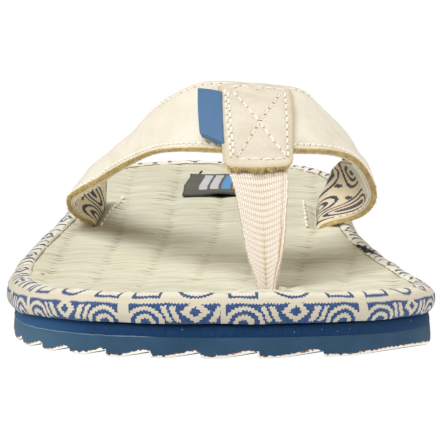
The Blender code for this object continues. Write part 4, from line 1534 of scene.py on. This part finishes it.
def webbing_relief(share, length, total, width):
    """Height of the weave and its painted shade, darkest between ribs, in the crease and along the selvage:
    cords along, bowed ribs across, a selvage.
    """
    cord = np.abs(np.sin(math.pi * CORD_COUNT * (share + 1.0) / 2.0))
    rib = 0.5 + 0.5 * np.cos(2.0 * math.pi * (length + rib_bow(share, length, total)) / RIB_PITCH)
    wave = 0.03 * soft_noise(length / 4.0, 0.0, 84)
    low = 1.0 - smooth_step((length / total - 0.35) / 0.3)
    selvage = bell(share - SELVAGE_PLACE - wave, SELVAGE_WIDTH) * (0.35 + 0.65 * low)
    crease = bell(share, 0.10) * (1.0 - smooth_step((length / total - 0.25) / 0.35))
    weave = (CORD_HEIGHT * cord + RIB_HEIGHT * rib) * width / POST_TOP_HALF_WIDTH
    height = weave - SELVAGE_DEPTH * selvage - CREASE_DEPTH * crease
    # painted shade between the ribs, along the selvage and in the crease down the fold
    painted_shade = (0.62 - 0.42 * np.abs(share)) * (1.0 - rib) ** 2.5 + 0.9 * selvage + 0.45 * crease
    return height, np.clip(painted_shade, 0.0, 1.0)


def add_toe_post():
    """Folded webbing: its middle lies behind its edges by the depth of the fold."""
    rows = post_rows()
    keys = chord_keys(rows[:, :3])
    length = np.linspace(keys[0], keys[-1], 200)
    line = spline(keys, rows, length)
    ahead = unit(np.gradient(line[:, :3], axis=0))
    side = np.tile((1.0, 0.0, 0.0), (len(line), 1))
    side = unit(side - ahead * np.sum(side * ahead, axis=1)[:, None])
    face = np.cross(side, ahead)
    share = np.linspace(-1.0, 1.0, CORD_COUNT * 4 + 1)[:, None]
    uneven = 0.02 * soft_noise(length / 3.0, share * 0.7, 87) * np.abs(share) ** 6
    spread = side * (line[:, 3] * (share + uneven))[:, :, None]
    fold = face * (line[:, 4] * (share ** 2 - 1.0))[:, :, None]
    sheet = line[:, :3] + spread + fold
    normal = unit(np.cross(np.gradient(sheet, axis=0), np.gradient(sheet, axis=1)))
    height, painted_shade = webbing_relief(share, length, keys[-1], line[:, 3])
    front = sheet + normal * (POST_THICK / 2.0 - 0.2 + height)[:, :, None]
    back = sheet - normal * (POST_THICK / 2.0 - 0.3 - 1.0 * share ** 4 + height)[:, :, None]
    piece = slab("toe_post_webbing", front, back, [webbing_material()], ["toe_post"], 0.2)
    paint(piece, "painted_shade", np.concatenate([painted_shade, painted_shade]))
    run = length + rib_bow(share, length, keys[-1])
    cords = np.broadcast_to((share + 1.0) / 2.0 * CORD_COUNT, run.shape)
    chart_points(piece, np.tile(np.stack([cords, run], axis=2).reshape(-1, 2), (2, 1)))


# Heel label

def add_label():
    xs = np.linspace(*LABEL_X, 41)
    ys = np.linspace(*LABEL_Y, 81)
    x, y = np.meshgrid(xs, ys, indexing="ij")
    u, v = x - LABEL_X[0], y - LABEL_Y[0]
    flutter = 0.10 * soft_noise(u / 16.0, v / 18.0, 91) + LABEL_LIP * bell(v, 3.0) * bell(u - 9.0, 4.0)
    z = footbed_top(y) + mat_height(x, y) + GAP + LABEL_THICK + LABEL_LIFT + flutter
    drift = 0.25 * soft_noise(v / 30.0, u / 60.0, 92)
    ragged = LABEL_RAGGED * soft_noise(u / 14.0, 0.0, 93)
    points = np.stack([x + drift + LABEL_SLANT * v, y + ragged, z], axis=2)
    places = np.stack([u, v], axis=2)
    piece = grid_piece("heel_label_cloth", points, places, label_material(), ["heel_label"])
    thicken(piece, LABEL_WALL)


def add_loose_thread():
    """Short dark thread that stands up at the label's far edge."""
    x, y = LABEL_X[0] + 4.5, LABEL_Y[1] - 0.5
    root = np.array([x, y, footbed_top(y) + 0.6])
    route = np.array([(0.0, 0.0, 0.0), (0.2, 0.4, 0.6), (0.5, 0.6, 1.0), (0.9, 0.5, 1.3)])
    keys = chord_keys(route)
    line = root + spline(keys, route, np.linspace(0.0, keys[-1], 14))
    tones = ((0.070, 0.068, 0.060), (0.030, 0.030, 0.030))
    add_thread("label_thread", line, (0.0, 1.0, 0.0), 0.28, 6, tones)


# Stage

def add_camera():
    data = bpy.data.cameras.new("camera")
    data.lens = CAMERA_LENS
    data.clip_end = 10.0
    camera = add_object("camera", data)
    back = Vector((0.0, -math.cos(CAMERA_TILT), math.sin(CAMERA_TILT)))
    camera.location = (Vector(CAMERA_AIM) + back * CAMERA_DISTANCE) * MM
    camera.rotation_euler = (math.pi / 2.0 - CAMERA_TILT, 0.0, 0.0)
    bpy.context.scene.camera = camera


def add_area_light(name, place, aim, size, power, colour):
    data = bpy.data.lights.new(name, "AREA")
    data.size = size
    data.energy = power
    data.color = colour
    light = add_object(name, data)
    light.location = place
    light.rotation_euler = (Vector(aim) - Vector(place)).to_track_quat("-Z", "Y").to_euler()


def add_floor():
    """White floor that shines like a light table, so that no shadow shows on it."""
    mesh = bpy.data.meshes.new("floor")
    corners = [(x * FLOOR_HALF, y * FLOOR_HALF, 0.0) for x, y in ((-1, -1), (1, -1), (1, 1), (-1, 1))]
    mesh.from_pydata(corners, [], [(0, 1, 2, 3)])
    graph = Graph("floor_white", 0.9)
    graph.set_inputs(graph.shader, {"Emission Color": (1.0, 1.0, 1.0, 1.0), "Emission Strength": 1.0})
    mesh.materials.append(graph.finish())
    add_object("floor", mesh)


def add_light():
    world = bpy.data.worlds.new("studio")
    world.use_nodes = True
    background = world.node_tree.nodes["Background"]
    background.inputs["Color"].default_value = WORLD_TONE
    background.inputs["Strength"].default_value = WORLD_STRENGTH
    bpy.context.scene.world = world
    bpy.context.scene.view_settings.view_transform = "Standard"
    for light in LIGHTS:
        add_area_light(*light)


def main():
    add_camera()
    add_floor()
    add_light()
    ring = outline_ring()
    add_outsole(ring)
    add_midsole(ring)
    add_glue_line(ring)
    add_footbed()
    add_binding()
    add_seam_thread()
    raw_edge = add_strap()
    add_lining()
    add_tab(raw_edge)
    add_stitching()
    add_tab_fuzz()
    add_edge_fuzz()
    add_tag()
    add_toe_post()
    add_label()
    add_loose_thread()


main()
